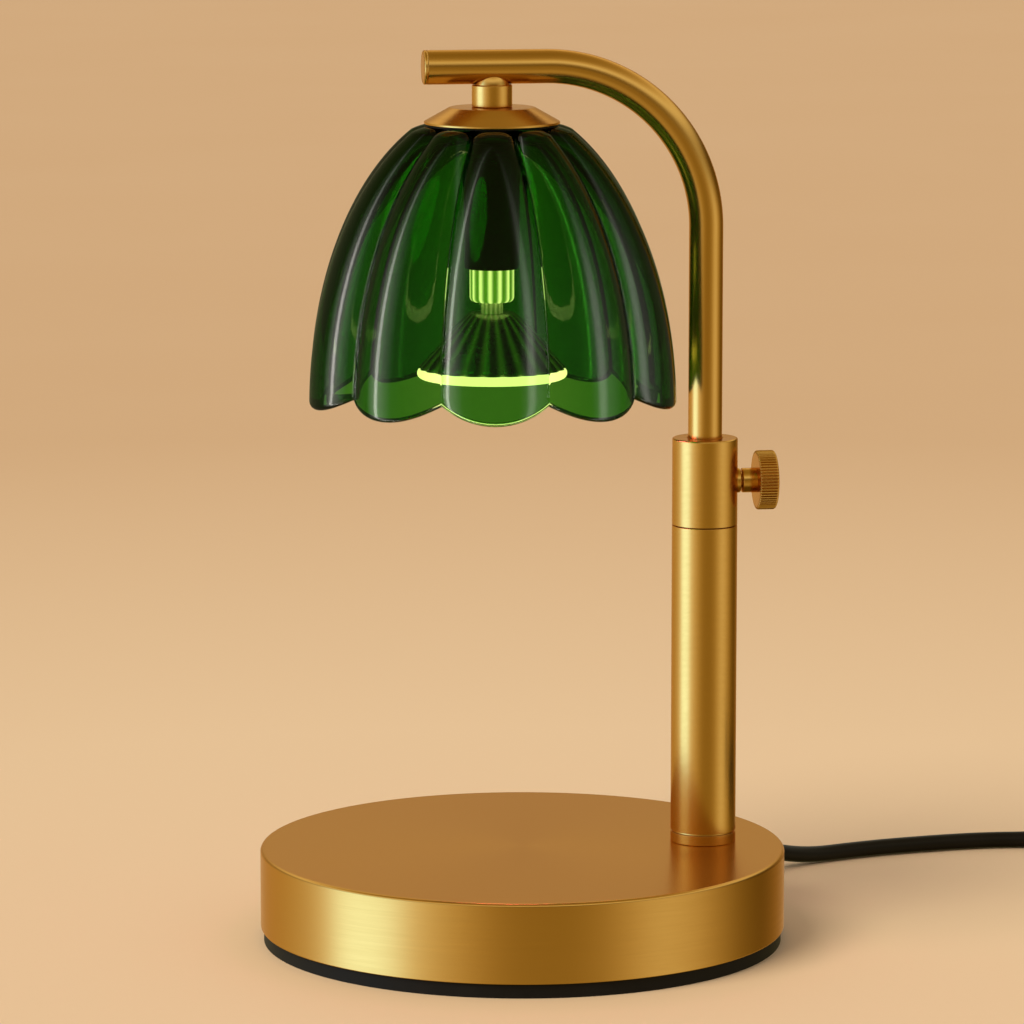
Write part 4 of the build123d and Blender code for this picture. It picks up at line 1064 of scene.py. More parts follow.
class AddHolder(LampOperator, bpy.types.Operator):
    """Add the lamp holder's cover"""

    bl_idname = "candle_lamp.holder"
    bl_label = "Lamp holder"

    WALL = 0.9 * MM
    ROOF = 1.2 * MM
    TOP_EDGE = 1.2 * MM
    BORE = 4.25 * MM
    NICK = 0.25 * MM
    GROOVES = 3
    FIRST_GROOVE = 4.0 * MM
    PITCH = 1.6 * MM

    def build(self, scene):
        bottom, top, radius = low("holder_cover").z, high("holder_cover").z, half_width("holder_cover")
        inner, sunk = radius - self.WALL, radius - self.NICK
        profile = [(self.BORE, top), *corner(radius, top, self.TOP_EDGE, 90, 0, 6)]
        for groove in range(self.GROOVES):
            level = top - self.FIRST_GROOVE - self.PITCH * groove
            profile += [(radius, level), (sunk, level - self.NICK)]
            profile += [(sunk, level - 0.55 * MM), (radius, level - 0.8 * MM)]
        profile += [(radius, bottom + self.NICK), (sunk, bottom), (inner, bottom)]
        profile += [(inner, top - self.ROOF), (self.BORE, top - self.ROOF)]
        bm = spun(profile, SHADE_X, steps=96)
        piece("holder_sleeve", bm, dark_enamel(), "arm", "holder_cover", flat=True)


class AddLamp(LampOperator, bpy.types.Operator):
    """Add the lit lamp: its ribbed base, fluted reflector and bright rim"""

    bl_idname = "candle_lamp.lamp"
    bl_label = "Lamp"

    CORE = 6.3 * MM
    RIB = 0.85 * MM
    BASE_EDGE = 1.6 * MM
    STEPS_PER_RIB = 12
    MOUTH = 24.6 * MM
    THROAT = 7.4 * MM
    REFLECTOR_WALL = 1.0 * MM
    FLARE = 0.92  # under 1, the reflector's outline bulges outwards
    FLUTE_DEPTH = 0.9 * MM
    RIM_WIDTH = 2.6 * MM

    def build(self, scene):
        self.ribbed_base()
        self.reflector()
        self.rim()

    def ribbed_base(self):
        bottom, top, outer = low("lamp_base").z, high("lamp_base").z, self.CORE + self.RIB
        profile = [(0.0, top), (outer, top), (outer, top - 6 * MM), (outer, bottom + self.BASE_EDGE + 1 * MM)]
        profile += corner(outer, bottom, self.BASE_EDGE, 0, -90, 6) + [(0.0, bottom)]

        def sunk(reach, around):
            wave = abs(math.cos(around * LAMP_RIBS / 2))
            return self.RIB * (1.0 - wave**0.7) / outer if reach > self.CORE * 0.7 else 0.0

        bm = pressed(spun(profile, SHADE_X, LAMP_RIBS * self.STEPS_PER_RIB, closed=False), sunk, SHADE_X)
        piece("ribbed_lamp_base", bm, glowing_glass("base"), "arm", "lamp_base")

    def reflector(self):
        bottom, top, steps = low("lamp_reflector").z, high("lamp_reflector").z, 12
        ceiling = top - 2 * self.REFLECTOR_WALL
        profile = [(0.0, top), (self.THROAT * 0.8, top)]
        for done in (k / steps for k in range(steps + 1)):
            flare = self.THROAT + (self.MOUTH - self.THROAT) * done**self.FLARE
            profile.append((flare, top - (top - bottom) * done))
        profile += [(self.MOUTH - self.REFLECTOR_WALL * 1.4, bottom), (self.THROAT, ceiling), (0.0, ceiling)]

        def sunk(reach, around):
            wave = abs(math.sin(around * REFLECTOR_FLUTES / 2))
            return self.FLUTE_DEPTH * (1.0 - wave) / self.MOUTH * min(1.0, reach / self.MOUTH)

        bm = pressed(spun(profile, SHADE_X, REFLECTOR_FLUTES * 8, closed=False), sunk, SHADE_X)
        piece("fluted_reflector", bm, reflector_coat(), "arm", "lamp_reflector")

    def rim(self):
        bottom, top, outer = low("lamp_ring").z, high("lamp_ring").z, half_width("lamp_ring")
        inner, bead = outer - self.RIM_WIDTH, half_height("lamp_ring")
        profile = arc((outer - bead, bottom + bead), bead, -90, 90, 10) + [(inner, top), (inner, bottom)]
        bm = spun(profile, SHADE_X, steps=160)
        piece("lamp_rim", bm, glowing_glass("ring"), "arm", "lamp_ring")


class FinishFrame(LampOperator, bpy.types.Operator):
    """Finish the pieces that keep the frame's own shape"""

    bl_idname = "candle_lamp.finish_frame"
    bl_label = "Other pieces"

    PLAIN = {
        "zinc_steel": (
            "bottom_plate", "base_screws", "pole_stud", "stud_nut", "stud_washer", "arm_clip", "neck_nipple",
            "cover_nut", "socket_carrier", "socket_screws", "cord_clamp_screws", "dimmer_screws",
        ),
        "white_nylon": (
            "collar_bush", "clamp_pad", "arm_guide_plug", "arm_ferrule", "terminal_block", "cord_clamp",
        ),
        "ballast_iron": ("ballast_weight",),
        "white_ceramic": ("lamp_socket",),
        "pin_brass": ("lamp_pins",),
        "lead_sheath": ("pole_lead", "arm_lead"),
        "circuit_board": ("dimmer_board",),
    }
    BLACK = {
        "black_rubber": ("foot_pad", "shade_gasket", "cover_washer"),
        "cord_sheath": ("cord_inner", "cord_cores"),
        "moulded_plastic": ("dimmer_case_bottom",),
    }

    def build(self, scene):
        for finish, table in ((plain_finish, self.PLAIN), (black_finish, self.BLACK)):
            for name, nodes in table.items():
                for node in nodes:
                    refinish(node, finish(name))
        refinish("lamp_capsule", lamp_glass())
        for part in ("lens", "neck"):
            refinish("lamp_" + part, glowing_glass(part))


# The cords' points are the routes that their tubes in the frame follow, in millimetres.
EXIT_DIRECTION = math.radians(41.8)
POWER_ROUTE = [
    (98.0 * math.cos(EXIT_DIRECTION), 98.0 * math.sin(EXIT_DIRECTION), 11.5),
    (116.0 * math.cos(EXIT_DIRECTION), 116.0 * math.sin(EXIT_DIRECTION), 11.5),
    (109.0, 91.4, 2.8),
    (134.0, 101.2, 2.8),
    (158.0, 106.6, 2.8),
    (180.0, 109.2, 2.8),
    (197.0, 107.2, 2.8),
    (212.0, 105.0, 5.5),
    (224.0, 105.0, 5.5),
]
COIL_LEAD_ROUTE = [
    (292.0, 105.0, 5.5),
    (304.0, 105.0, 5.5),
    (318.7, 101.9, 2.8),
    (330.8, 93.1, 2.8),
    (338.3, 80.1, 2.8),
    (339.9, 65.2, 2.8),
    (338.1, 50.7, 2.8),
]
PLUG_LEAD_ROUTE = [
    (337.4, 22.0, 6.4),
    (336.0, 9.0, 3.2),
    (333.6, -4.5, 3.2),
    (332.0, -19.0, 7.0),
    (332.0, -31.0, 7.0),
]
CORD_BORE = 2.7 * MM  # of the rubber that grips the cord


class AddDimmer(LampOperator, bpy.types.Operator):
    """Add the cord's dimmer: the upper case, the thumb wheel and the rubber sleeves at its ends"""

    bl_idname = "candle_lamp.dimmer"
    bl_label = "Dimmer"

    CORNER = 9.0 * MM
    EDGE = 2.0 * MM
    WALL = 1.6 * MM
    SEAM = 0.3 * MM
    PANEL_FRAME = 2.2 * MM
    PANEL_STEP = 0.35 * MM
    PANEL_DEPTH = 0.45 * MM
    SLOT_GAP = 0.3 * MM
    MARKS = 7
    MARK_PITCH = 3.4 * MM
    MARK_HALF = 0.5 * MM
    MARK_START = 6.0 * MM  # from the wheel's side of the case
    TEETH = 36
    TOOTH_DEPTH = 0.8 * MM
    WHEEL_BORE = 2.15 * MM
    WHEEL_EDGE = 0.5 * MM
    DISH = 0.25 * MM
    SLEEVE_END = 3.5 * MM

    def build(self, scene):
        self.case()
        self.wheel()
        self.sleeves()

    def case(self):
        """A round-cornered lid with a sunk panel, open below and at the wheel."""
        bottom, top = low("dimmer_case_top"), high("dimmer_case_top")
        start = bottom.z + self.SEAM
        bm = block((bottom.x, top.x), (bottom.y, top.y), (start, top.z))
        rounded(bm, upright_edges(bm), self.CORNER, 10)
        rounded(bm, sharp_edges_at(bm, top.z), self.EDGE, 5)
        roof = [f for f in bm.faces if f.normal.z > 0.99 and f.calc_area() > 1e-4]
        for step, depth in ((self.PANEL_FRAME, 0.0), (self.PANEL_STEP, -self.PANEL_DEPTH)):
            bmesh.ops.inset_region(bm, faces=roof, thickness=step, depth=depth, use_even_offset=True)
        centre, radius = middle("dimmer_wheel").x, half_width("dimmer_wheel")
        inside = bottom.y - low("dimmer_wheel").y
        half = math.sqrt(radius**2 - (radius - inside) ** 2) + 2 * self.SLOT_GAP
        ceiling = high("dimmer_wheel").z + self.SLOT_GAP
        cuts = [((x, 0, 0), (1, 0, 0)) for x in (centre - half, centre + half)]
        cuts.append(((0, 0, ceiling), (0, 0, 1)))
        for place, way in cuts:
            geometry = list(bm.verts) + list(bm.edges) + list(bm.faces)
            bmesh.ops.bisect_plane(bm, geom=geometry, dist=WELD, plane_co=place, plane_no=way)
        gone = []
        for face in bm.faces:
            spot = face.calc_center_median()
            underside = face.normal.z < -0.99 and abs(spot.z - start) < 1e-6
            slot = face.normal.y < -0.99 and abs(spot.x - centre) < half and spot.z < ceiling
            if underside or slot:
                gone.append(face)
        bmesh.ops.delete(bm, geom=gone, context="FACES")
        piece(
            "dimmer_lid", bm, black_finish("moulded_plastic"), "base", "dimmer_case_top",
            wall=self.WALL, edge=0.22 * MM, angle=50,
        )
        self.scale(centre, bottom.y + self.MARK_START, top.z - self.PANEL_DEPTH)

    def scale(self, centre, start, level):
        """Raised marks that grow towards the bright end of the wheel's travel."""
        marks = []
        for k in range(self.MARKS):
            x = centre + (k - (self.MARKS - 1) / 2) * self.MARK_PITCH
            reach = (1.6 + 0.55 * k) * MM
            spans = (x - self.MARK_HALF, x + self.MARK_HALF), (start, start + reach)
            mark = block(*spans, (level - 0.3 * MM, level + 0.35 * MM))
            rounded(mark, upright_edges(mark), 0.9 * self.MARK_HALF, 4)
            marks.append(mark)
        piece(
            "dimmer_scale", joined(*marks), black_finish("moulded_plastic"), "base",
            edge=0.12 * MM, angle=40,
        )

    def wheel(self):
        bottom, top, centre = low("dimmer_wheel").z, high("dimmer_wheel").z, middle("dimmer_wheel")
        radius, edge = half_width("dimmer_wheel"), self.WHEEL_EDGE
        dished, flat = radius - 3.0 * MM, radius - 2.6 * MM
        profile = [(self.WHEEL_BORE, bottom), (dished, bottom), (flat, bottom)]
        profile += corner(radius, bottom, edge, -90, 0, 4) + corner(radius, top, edge, 0, 90, 4)
        profile += [(flat, top), (dished, top - self.DISH), (self.WHEEL_BORE, top - self.DISH)]
        bm = spun(profile, steps=self.TEETH * 6)
        bm = fluted(bm, self.TEETH, self.TOOTH_DEPTH, radius - 1.6 * MM, radius)
        bm = moved(bm, (centre.x, centre.y, 0.0))
        piece(
            "dimmer_thumb_wheel", bm, black_finish("moulded_plastic"), "wheel", "dimmer_wheel",
            edge=0.08 * MM, angle=50,
        )

    def sleeves(self):
        bottom, top, centre = low("dimmer_reliefs"), high("dimmer_reliefs"), middle("dimmer_reliefs")
        left, right = low("dimmer_case_top").x + self.WALL, high("dimmer_case_top").x - self.WALL
        wide = half_height("dimmer_reliefs")
        sleeves = [
            bend_relief(reach, wide, self.SLEEVE_END, CORD_BORE, 3, (x, centre.y, centre.z), heading)
            for x, reach, heading in ((left, left - bottom.x, TURN / 2), (right, top.x - right, 0.0))
        ]
        rubber = black_finish("black_rubber")
        piece("dimmer_sleeves", joined(*sleeves), rubber, "base", "dimmer_reliefs")


class AddPlug(LampOperator, bpy.types.Operator):
    """Add the flat two-pin plug, its ringed sleeve and its pins"""

    bl_idname = "candle_lamp.plug"
    bl_label = "Plug"

    SLEEVE = 17.0 * MM
    SLEEVE_SEAT = 1.0 * MM
    SLEEVE_START = 5.6 * MM
    SLEEVE_END = 3.5 * MM
    SLEEVE_RINGS = 6
    BACK_WIDTH = 16.0 * MM
    SHOULDER = 0.55  # of the body's length, where it is at its widest
    SIDE_ROUND = 4.0 * MM
    EDGE = 2.2 * MM
    GRIPS = 5
    GRIP_HALF = 0.7 * MM
    INSULATED = 10.0 * MM
    PIN_TIP = 0.9 * MM
    COVER_ROOT = 0.4 * MM  # how far the pins' insulation starts inside the body

    def build(self, scene):
        bottom, top, centre = low("plug_body"), high("plug_body"), middle("plug_body")
        back = top.y - self.SLEEVE
        shoulder = back - (back - bottom.y) * self.SHOULDER
        half, narrow = half_width("plug_body"), self.BACK_WIDTH / 2
        side = [(narrow, back), (half, shoulder), (half, bottom.y)]
        plan = side + [(-across, y) for across, y in reversed(side)]
        bm = bmesh.new()
        face = bm.faces.new([bm.verts.new((centre.x + across, y, bottom.z)) for across, y in plan])
        raised = bmesh.ops.extrude_face_region(bm, geom=[face])["geom"]
        verts = [g for g in raised if isinstance(g, bmesh.types.BMVert)]
        bmesh.ops.translate(bm, verts=verts, vec=(0.0, 0.0, top.z - bottom.z))
        bmesh.ops.recalc_face_normals(bm, faces=bm.faces)
        rounded(bm, upright_edges(bm), self.SIDE_ROUND, 6)
        for height in (top.z, bottom.z):
            rounded(bm, sharp_edges_at(bm, height), self.EDGE, 4)
        flat = [f for f in bm.faces if abs(f.normal.z) > 0.99 and f.calc_area() > 1e-4]
        for step, depth in ((2.4 * MM, 0.0), (0.5 * MM, -0.6 * MM)):
            bmesh.ops.inset_individual(bm, faces=flat, thickness=step, depth=depth, use_even_offset=True)
        start = Vector((centre.x, back - self.SLEEVE_SEAT, centre.z))
        reach = self.SLEEVE + self.SLEEVE_SEAT
        sleeve = bend_relief(
            reach, self.SLEEVE_START, self.SLEEVE_END, CORD_BORE, self.SLEEVE_RINGS, start, TURN / 4
        )
        whole = joined(bm, sleeve, *self.grips(centre.x, back, bottom.z + 0.2 * MM, top.z - 0.2 * MM))
        plastic = black_finish("moulded_plastic")
        piece("plug", whole, plastic, "base", "plug_body", flat=True)
        self.pins(bottom.y, centre.z)

    def grips(self, x, back, bottom, top):
        """Ridges across both panels, wider towards the pins."""
        for k in range(self.GRIPS):
            y = back - (8.0 + 3.2 * k) * MM
            reach = (5.2 + 0.9 * k) * MM
            grip = block((x - reach, x + reach), (y - self.GRIP_HALF, y + self.GRIP_HALF), (bottom, top))
            rounded(grip, upright_edges(grip), 0.6 * MM, 4)
            yield grip

    def pins(self, face_y, z):
        bottom, top, radius = low("plug_pins"), high("plug_pins"), half_height("plug_pins")
        reach, bare = face_y - bottom.y, radius * 0.92
        metal = [(0.0, 0.0), (bare, 0.0), (bare, self.INSULATED), (radius, self.INSULATED)]
        metal += corner(radius, reach, self.PIN_TIP, 0, 90, 6) + [(0.0, reach)]
        end = self.INSULATED - 0.02 * MM
        cover = [(0.0, -self.COVER_ROOT), (radius, -self.COVER_ROOT), (radius, self.INSULATED - 0.2 * MM)]
        cover += [(radius - 0.12 * MM, end), (0.0, end)]
        tips, covers = (
            joined(*(
                moved(along_x(spun(profile, steps=48, closed=False)), (x, face_y, z), -TURN / 4)
                for x in (bottom.x + radius, top.x - radius)
            ))
            for profile in (metal, cover)
        )
        nickel = plain_finish("nickel_pins")
        piece("plug_pin_tips", tips, nickel, "base", "plug_pins", flat=True)
        piece("plug_pin_covers", covers, black_finish("moulded_plastic"), "base")


class AddCordFittings(LampOperator, bpy.types.Operator):
    """Add the strain relief at the base and the strap round the coil"""

    bl_idname = "candle_lamp.cord_fittings"
    bl_label = "Strain relief and strap"

    FLANGE = 1.5 * MM
    FLANGE_EDGE = 0.6 * MM
    NECK = 4.3 * MM
    TAIL = 3.4 * MM
    TAIL_SEAT = 0.4 * MM
    TAIL_END = 107.5 * MM
    TAIL_RINGS = 7
    STRAP_ROUND = 3.6 * MM
    STRAP_THICKNESS = 0.64 * MM
    TAB_LIFT = 0.7 * MM
    TAB_INSET = 0.5 * MM

    def build(self, scene):
        self.strain_relief()
        self.strap()

    def strain_relief(self):
        z, wide = middle("cord_strain_relief").z, half_height("cord_strain_relief")
        inner, end = BASE_RADIUS - AddBase.WALL - 0.2 * MM, BASE_RADIUS + self.FLANGE
        start = inner - self.FLANGE
        profile = [(CORD_BORE, start), (wide, start), (wide, inner), (self.NECK, inner)]
        profile += [(self.NECK, BASE_RADIUS), (wide, BASE_RADIUS), (wide, end - self.FLANGE_EDGE)]
        profile += [(wide - self.FLANGE_EDGE, end), (CORD_BORE, end)]
        flange = along_x(spun(profile, steps=64), 0.0, z)
        seat = end - self.TAIL_SEAT
        tail = bend_relief(
            self.TAIL_END - seat, self.NECK, self.TAIL, CORD_BORE, self.TAIL_RINGS, (seat, 0.0, z), 0.0
        )
        whole = moved(joined(flange, tail), (0.0, 0.0, 0.0), EXIT_DIRECTION)
        rubber = black_finish("black_rubber")
        piece(
            "cord_bend_relief", whole, rubber, "base", "cord_strain_relief",
            edge=0.1 * MM, angle=40,
        )

    def strap(self):
        """A strip laid over the coil's bundle, with its end turned over and pressed down."""
        bottom, top, turn = low("coil_tie"), high("coil_tie"), self.STRAP_ROUND
        line = [(bottom.x, bottom.z)] + arc((bottom.x + turn, top.z - turn), turn, 180, 90, 8)
        line += arc((top.x - turn, top.z - turn), turn, 90, 0, 8) + [(top.x, bottom.z)]
        tab = [(bottom.x + 5.0 * MM, top.z + 0.1 * MM), (bottom.x + 5.6 * MM, top.z + self.TAB_LIFT)]
        tab += arc((top.x - turn, top.z - turn), turn + self.TAB_LIFT, 90, 20, 8)
        strips = []
        for points, inset in ((line, 0.0), (tab, self.TAB_INSET)):
            bm = bmesh.new()
            edges = chain(bm, points)
            bmesh.ops.translate(bm, verts=bm.verts, vec=(0.0, bottom.y + inset, 0.0))
            drawn(bm, edges, Vector((0.0, top.y - bottom.y - 2 * inset, 0.0)), 4)
            bmesh.ops.recalc_face_normals(bm, faces=bm.faces)
            if sum((f.normal.z for f in bm.faces), 0.0) < 0:
                bmesh.ops.reverse_faces(bm, faces=bm.faces)
            strips.append(bm)
        piece(
            "coil_strap", joined(*strips), woven_strap(), "base", "coil_tie",
            wall=self.STRAP_THICKNESS, edge=0.15 * MM, angle=60,
        )


class AddCord(LampOperator, bpy.types.Operator):
    """Add the mains cord: from the base to the dimmer, and from there through its coil to the plug"""

    bl_idname = "candle_lamp.cord"
    bl_label = "Cord"

    POINTS_PER_TURN = 16
    SECTION_POINTS = 6

    def build(self, scene):
        shape = scene.lamp_cord
        power = self.cord("power_cord_line", POWER_ROUTE, shape.diameter)
        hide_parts("power_cord")
        [c * MM for c in POWER_ROUTE[0]]
        route = COIL_LEAD_ROUTE + self.coil(shape) + PLUG_LEAD_ROUTE
        plug_cord = self.cord("plug_cord_line", route, shape.diameter)
        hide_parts("coil_lead", "cord_coil", "plug_lead")
        [c * MM for c in COIL_LEAD_ROUTE[0]]

    def coil(self, shape):
        """The coil's points: a flat layer wound inwards, a climb at its inside and a layer wound outwards."""
        spacing = shape.diameter / MM
        centre = middle("cord_coil") / MM
        outermost = shape.coil_radius / MM + spacing * (shape.tracks - 1) / 2
        radii = [outermost - spacing * k for k in range(shape.tracks)]
        round_off = 2.0 / (1.0 + math.cos(math.pi / self.POINTS_PER_TURN))
        points = []
        for turn in range(2 * shape.tracks - 1):
            for k in range(self.POINTS_PER_TURN):
                done = k / self.POINTS_PER_TURN
                radius, height = self.wound(turn, done, radii, spacing)
                reach, around = radius * round_off, -TURN * done
                x, y = centre.x + reach * math.cos(around), centre.y + reach * math.sin(around)
                points.append((x, y, height))
        return points[1:]

    @staticmethod
    def wound(turn, done, radii, spacing):
        """Radius and height at a share of one turn; the tracks change in one stretch, so no turns cross."""
        last = len(radii) - 1
        floor = spacing / 2

        def eased(start, end):
            passed = min(1.0, max(0.0, (done - start) / (end - start)))
            return passed * passed * (3 - 2 * passed)

        if turn < last:
            return radii[turn] + (radii[turn + 1] - radii[turn]) * eased(0.80, 1.0), floor
        if turn == last:
            return radii[last], floor + spacing * eased(0.62, 0.82)
        inner = 2 * last + 1 - turn
        outer = max(0, inner - 1)
        return radii[inner] + (radii[outer] - radii[inner]) * eased(0.44, 0.62), floor + spacing

    def cord(self, name, route, diameter):
        """A round cord whose smooth line has the route's points as its control points."""
        line = bpy.data.curves.new(name, "CURVE")
        line.dimensions = "3D"
        spline = line.splines.new("NURBS")
        spline.points.add(len(route) - 1)
        for point, place in zip(spline.points, route):
            point.co = (*[c * MM for c in place], 1.0)
        spline.order_u = 3
        spline.use_endpoint_u = True
        spline.resolution_u = 8
        line.bevel_depth = diameter / 2
        line.bevel_resolution = self.SECTION_POINTS
        line.use_fill_caps = True
        made = added(name, line, black_finish("cord_sheath"), "base")
        return made


class AddStage(LampOperator, bpy.types.Operator):
    """Add the floor, the soft lights, the world and the camera"""

    bl_idname = "candle_lamp.stage"
    bl_label = "Stage"

    FLOOR_SIZE = 16.0
    BRIGHTEST = 12.0
    LIT_TABLE = 0.48
    UNDERSIDE = 0.08
    ROOM = [
        (-180, 0.74), (-152, 0.50), (-129, 0.54), (-108, 0.70), (-95, 1.10), (-84, 2.9), (-62, 2.9),
        (-50, 1.30), (-38, 0.90), (-27, 0.64), (-14, 0.40), (-4, 0.29), (20, 0.27), (34, 0.36),
        (48, 0.66), (62, 1.02), (76, 0.86), (92, 0.48), (108, 0.20), (129, 0.09), (155, 0.36), (180, 0.74),
    ]  # azimuth in degrees right of the camera, and brightness
    CEILING = [(0.0, 1.1), (0.56, 1.1), (0.66, 0.76), (0.80, 0.38), (1.0, 0.24)]  # height on a unit sphere
    PANES = [
        (-180, 0.05), (-104, 0.05), (-94, 1.0), (-88, 2.0), (-85, 8.5), (-82, 8.5), (-79, 2.0), (-66, 0.9),
        (-54, 0.15), (-36, 0.06), (44, 0.06), (54, 0.5), (61, 2.4), (67, 2.6), (76, 0.7), (92, 0.3),
        (106, 0.05), (180, 0.05),
    ]  # the window panes as sharp reflections show them
    PANE_TONE = (1.0, 0.96, 0.88)
    DIM_ROOM = (0.09, 0.082, 0.022)  # what a sharp reflection shows beside the panes
    SUN_STRENGTH = 2.3
    SUN_WIDTH = math.radians(34)
    SUN_AROUND = math.radians(-48)
    SUN_HEIGHT = math.radians(48)
    SENSOR = 36.0
    TARGET = Vector((-3.353, 62.85, 129.867)) * MM  # seen along the camera's own level axes

    def build(self, scene):
        look = scene.lamp_stage
        scene.view_settings.view_transform = "Standard"
        self.to_object = Matrix.Rotation(-look.yaw, 4, "Z")
        self.floor(look)
        self.world(scene, look)
        self.light(scene)
        self.camera(scene, look)

    def floor(self, look):
        bm = bmesh.new()
        bmesh.ops.create_grid(bm, x_segments=1, y_segments=1, size=self.FLOOR_SIZE / 2)
        mesh = bpy.data.meshes.new("floor")
        bm.to_mesh(mesh)
        bm.free()
        floor = bpy.data.objects.new("floor", mesh)
        bpy.context.scene.collection.objects.link(floor)
        floor.visible_glossy = False
        face = surface("floor_plaster")
        reach = face.vector("LENGTH", face.place(), output=1)
        further = face.ramp((reach - 0.35) / 0.8, (0.0, 0.0), (1.0, 1.0))
        tone = face.mix(further, tuple(look.floor), tuple(look.background))
        tone = face.mix(face.noise(3.0, 4.0) * 0.2, tone, tuple(c * 0.9 for c in look.floor))
        grain = face.noise(900.0, 3.0, 0.6)
        mesh.materials.append(
            face.principled(Base_Color=tone, Roughness=0.8, Normal=face.bump(grain, 0.2, 0.2 * MM))
        )
        floor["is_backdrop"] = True

    def world(self, scene, look):
        """A plain fill for the lamp, and for its shine a room with a bright window at its left."""
        scene.world = bpy.data.worlds.new("soft_room")
        room = Surface(scene.world)
        path = room.tree.nodes.new("ShaderNodeLightPath")
        seen, shine, through, sharp = (
            Term(room, path.outputs["Is " + n])
            for n in ("Camera Ray", "Glossy Ray", "Transmission Ray", "Singular Ray")
        )
        fill, backdrop, shown = (
            room.node("ShaderNodeBackground", inputs=inputs)
            for inputs in (
                ((1.0, 0.95, 0.88), 0.5), (tuple(look.background), 1.0), (self.room_tone(room, sharp), 1.0)
            )
        )
        lit = room.node("ShaderNodeMixShader", inputs=((seen + through).clamped(), fill, backdrop))
        whole = room.node("ShaderNodeMixShader", inputs=(shine, lit, shown))
        room.finish(whole, kind="ShaderNodeOutputWorld")

    def room_tone(self, room, sharp):
        """What shines in the metal and the glass: brightness by azimuth, a ceiling and a lit table."""

        def product(a, b):
            return room.mix(1.0, a, b, "MULTIPLY")

        def along(way, axis):
            return room.vector("DOT_PRODUCT", way, tuple(self.to_object @ Vector(axis)), output=1)

        way = room.node("ShaderNodeTexCoord", output=0)
        right, ahead = along(way, (1.0, 0.0, 0.0)), along(way, (0.0, -1.0, 0.0))
        azimuth = room.math("ARCTAN2", right, ahead) / TURN + 0.5
        height = way.part("Z")
        depth = height * -1.0
        stops = [((degrees + 180) / 360, self.tinted(level)) for degrees, level in self.ROOM]
        walls = room.ramp(azimuth, *stops)
        dimmer = room.ramp(height * 2.0 + 0.5, (0.5, 1.0), (0.75, 0.6))  # walls lose light above the horizon
        ceiling = room.ramp(height, *[(place, self.tinted(level)) for place, level in self.CEILING])
        overhead = room.ramp(height, (0.0, 0.0), (0.28, 0.0), (0.50, 1.0))
        table = room.ramp(depth, (0.0, 0.0), (0.22, 0.0), (0.48, 1.0))
        below = room.ramp(depth, (0.0, 0.0), (0.60, 0.0), (0.85, 1.0))
        tone = room.mix(overhead, product(walls, dimmer), ceiling)
        tone = room.mix(table, tone, self.tinted(self.LIT_TABLE))
        tone = room.mix(below, tone, self.tinted(self.UNDERSIDE))
        shares = [((degrees + 180) / 360, level / self.BRIGHTEST) for degrees, level in self.PANES]
        upright = room.ramp(height, (0.0, 1.0), (0.30, 0.8), (0.62, 0.25), (0.85, 0.08), (1.0, 0.02))
        panes = product(product(room.ramp(azimuth, *shares), self.PANE_TONE), upright)
        panes = room.mix(1.0, panes, tuple(c / self.BRIGHTEST for c in self.DIM_ROOM), "ADD")
        return product(room.mix(sharp, tone, panes), (self.BRIGHTEST,) * 3)

    def tinted(self, level):
        """A colour of the room as a share of its brightest: warm where it is dim, cool at the window."""
        red = 1.6 * level / (1.0 + 0.54 * level)
        blue = level * (0.03 + 0.97 * level) / (1.0 + 0.25 * level)
        return tuple(c / self.BRIGHTEST for c in (red, level, blue))

    def light(self, scene):
        """One broad sun for the soft shadow, which the shine leaves out."""
        data = bpy.data.lights.new("window_light", "SUN")
        data.energy = self.SUN_STRENGTH
        data.angle = self.SUN_WIDTH
        data.color = (1.0, 0.95, 0.87)
        sun = bpy.data.objects.new("window_light", data)
        level = math.cos(self.SUN_HEIGHT)
        from_way = Vector((
            math.sin(self.SUN_AROUND) * level, -math.cos(self.SUN_AROUND) * level, math.sin(self.SUN_HEIGHT)
        ))
        sun.rotation_euler = (self.to_object @ from_way).to_track_quat("Z", "Y").to_euler()
        sun.visible_glossy = False
        scene.collection.objects.link(sun)

    def camera(self, scene, look):
        data = bpy.data.cameras.new("camera")
        data.lens = look.lens
        data.sensor_width = self.SENSOR
        camera = bpy.data.objects.new("camera", data)
        back = Vector((0.0, -math.cos(look.pitch), math.sin(look.pitch))) * look.distance
        target = self.to_object @ self.TARGET
        camera.location = target + self.to_object @ back
        camera.rotation_euler = (target - camera.location).to_track_quat("-Z", "Y").to_euler()
        scene.collection.objects.link(camera)
        scene.camera = camera


# ---- Panel and registration

OPERATORS = [
    AddBase, AddPole, AddThumbscrew, AddArm, AddNeck, AddShade, AddHolder, AddLamp, FinishFrame,
    AddDimmer, AddPlug, AddCordFittings, AddCord, AddStage,
]
SETTINGS = {
    "lamp_brass": BrassFinish,
    "lamp_glass": ShadeGlass,
    "lamp_glow": LampGlow,
    "lamp_cord": CordShape,
    "lamp_stage": StageLook,
}


class LampPanel(bpy.types.Panel):
    """The lamp's settings and the buttons that add its pieces"""

    bl_idname = "VIEW3D_PT_candle_lamp"
    bl_label = "Candle Warmer Lamp"
    bl_space_type = "VIEW_3D"
    bl_region_type = "UI"
    bl_category = "Lamp"

    def draw(self, context):
        for name, group in SETTINGS.items():
            box = self.layout.box()
            for key in group.__annotations__:
                box.prop(getattr(context.scene, name), key)
        for operator in OPERATORS:
            self.layout.operator(operator.bl_idname)


CLASSES = [*SETTINGS.values(), *OPERATORS, LampPanel]


def register():
    for kind in CLASSES:
        bpy.utils.register_class(kind)
    for name, group in SETTINGS.items():
        setattr(bpy.types.Scene, name, bpy.props.PointerProperty(type=group))


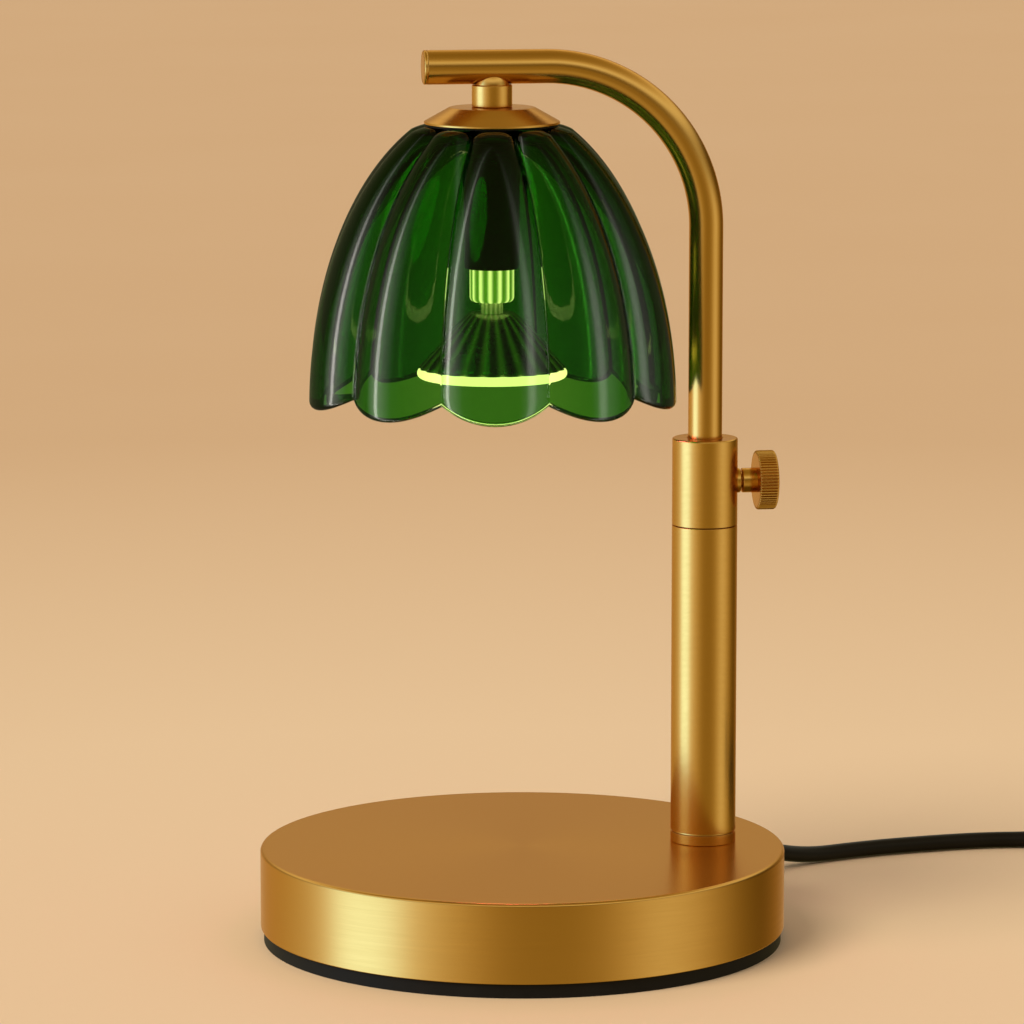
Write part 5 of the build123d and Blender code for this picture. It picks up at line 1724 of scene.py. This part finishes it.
def unregister():
    for name in SETTINGS:
        delattr(bpy.types.Scene, name)
    for kind in reversed(CLASSES):
        bpy.utils.unregister_class(kind)


def main():
    register()
    for operator in OPERATORS:
        group, name = operator.bl_idname.split(".")
        getattr(getattr(bpy.ops, group), name)()
    boxes = {"cad": CAD_BOX, "visual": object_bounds()}
    {name: [list(corner) for corner in box] for name, box in boxes.items()}


if __name__ == "__main__":
    main()
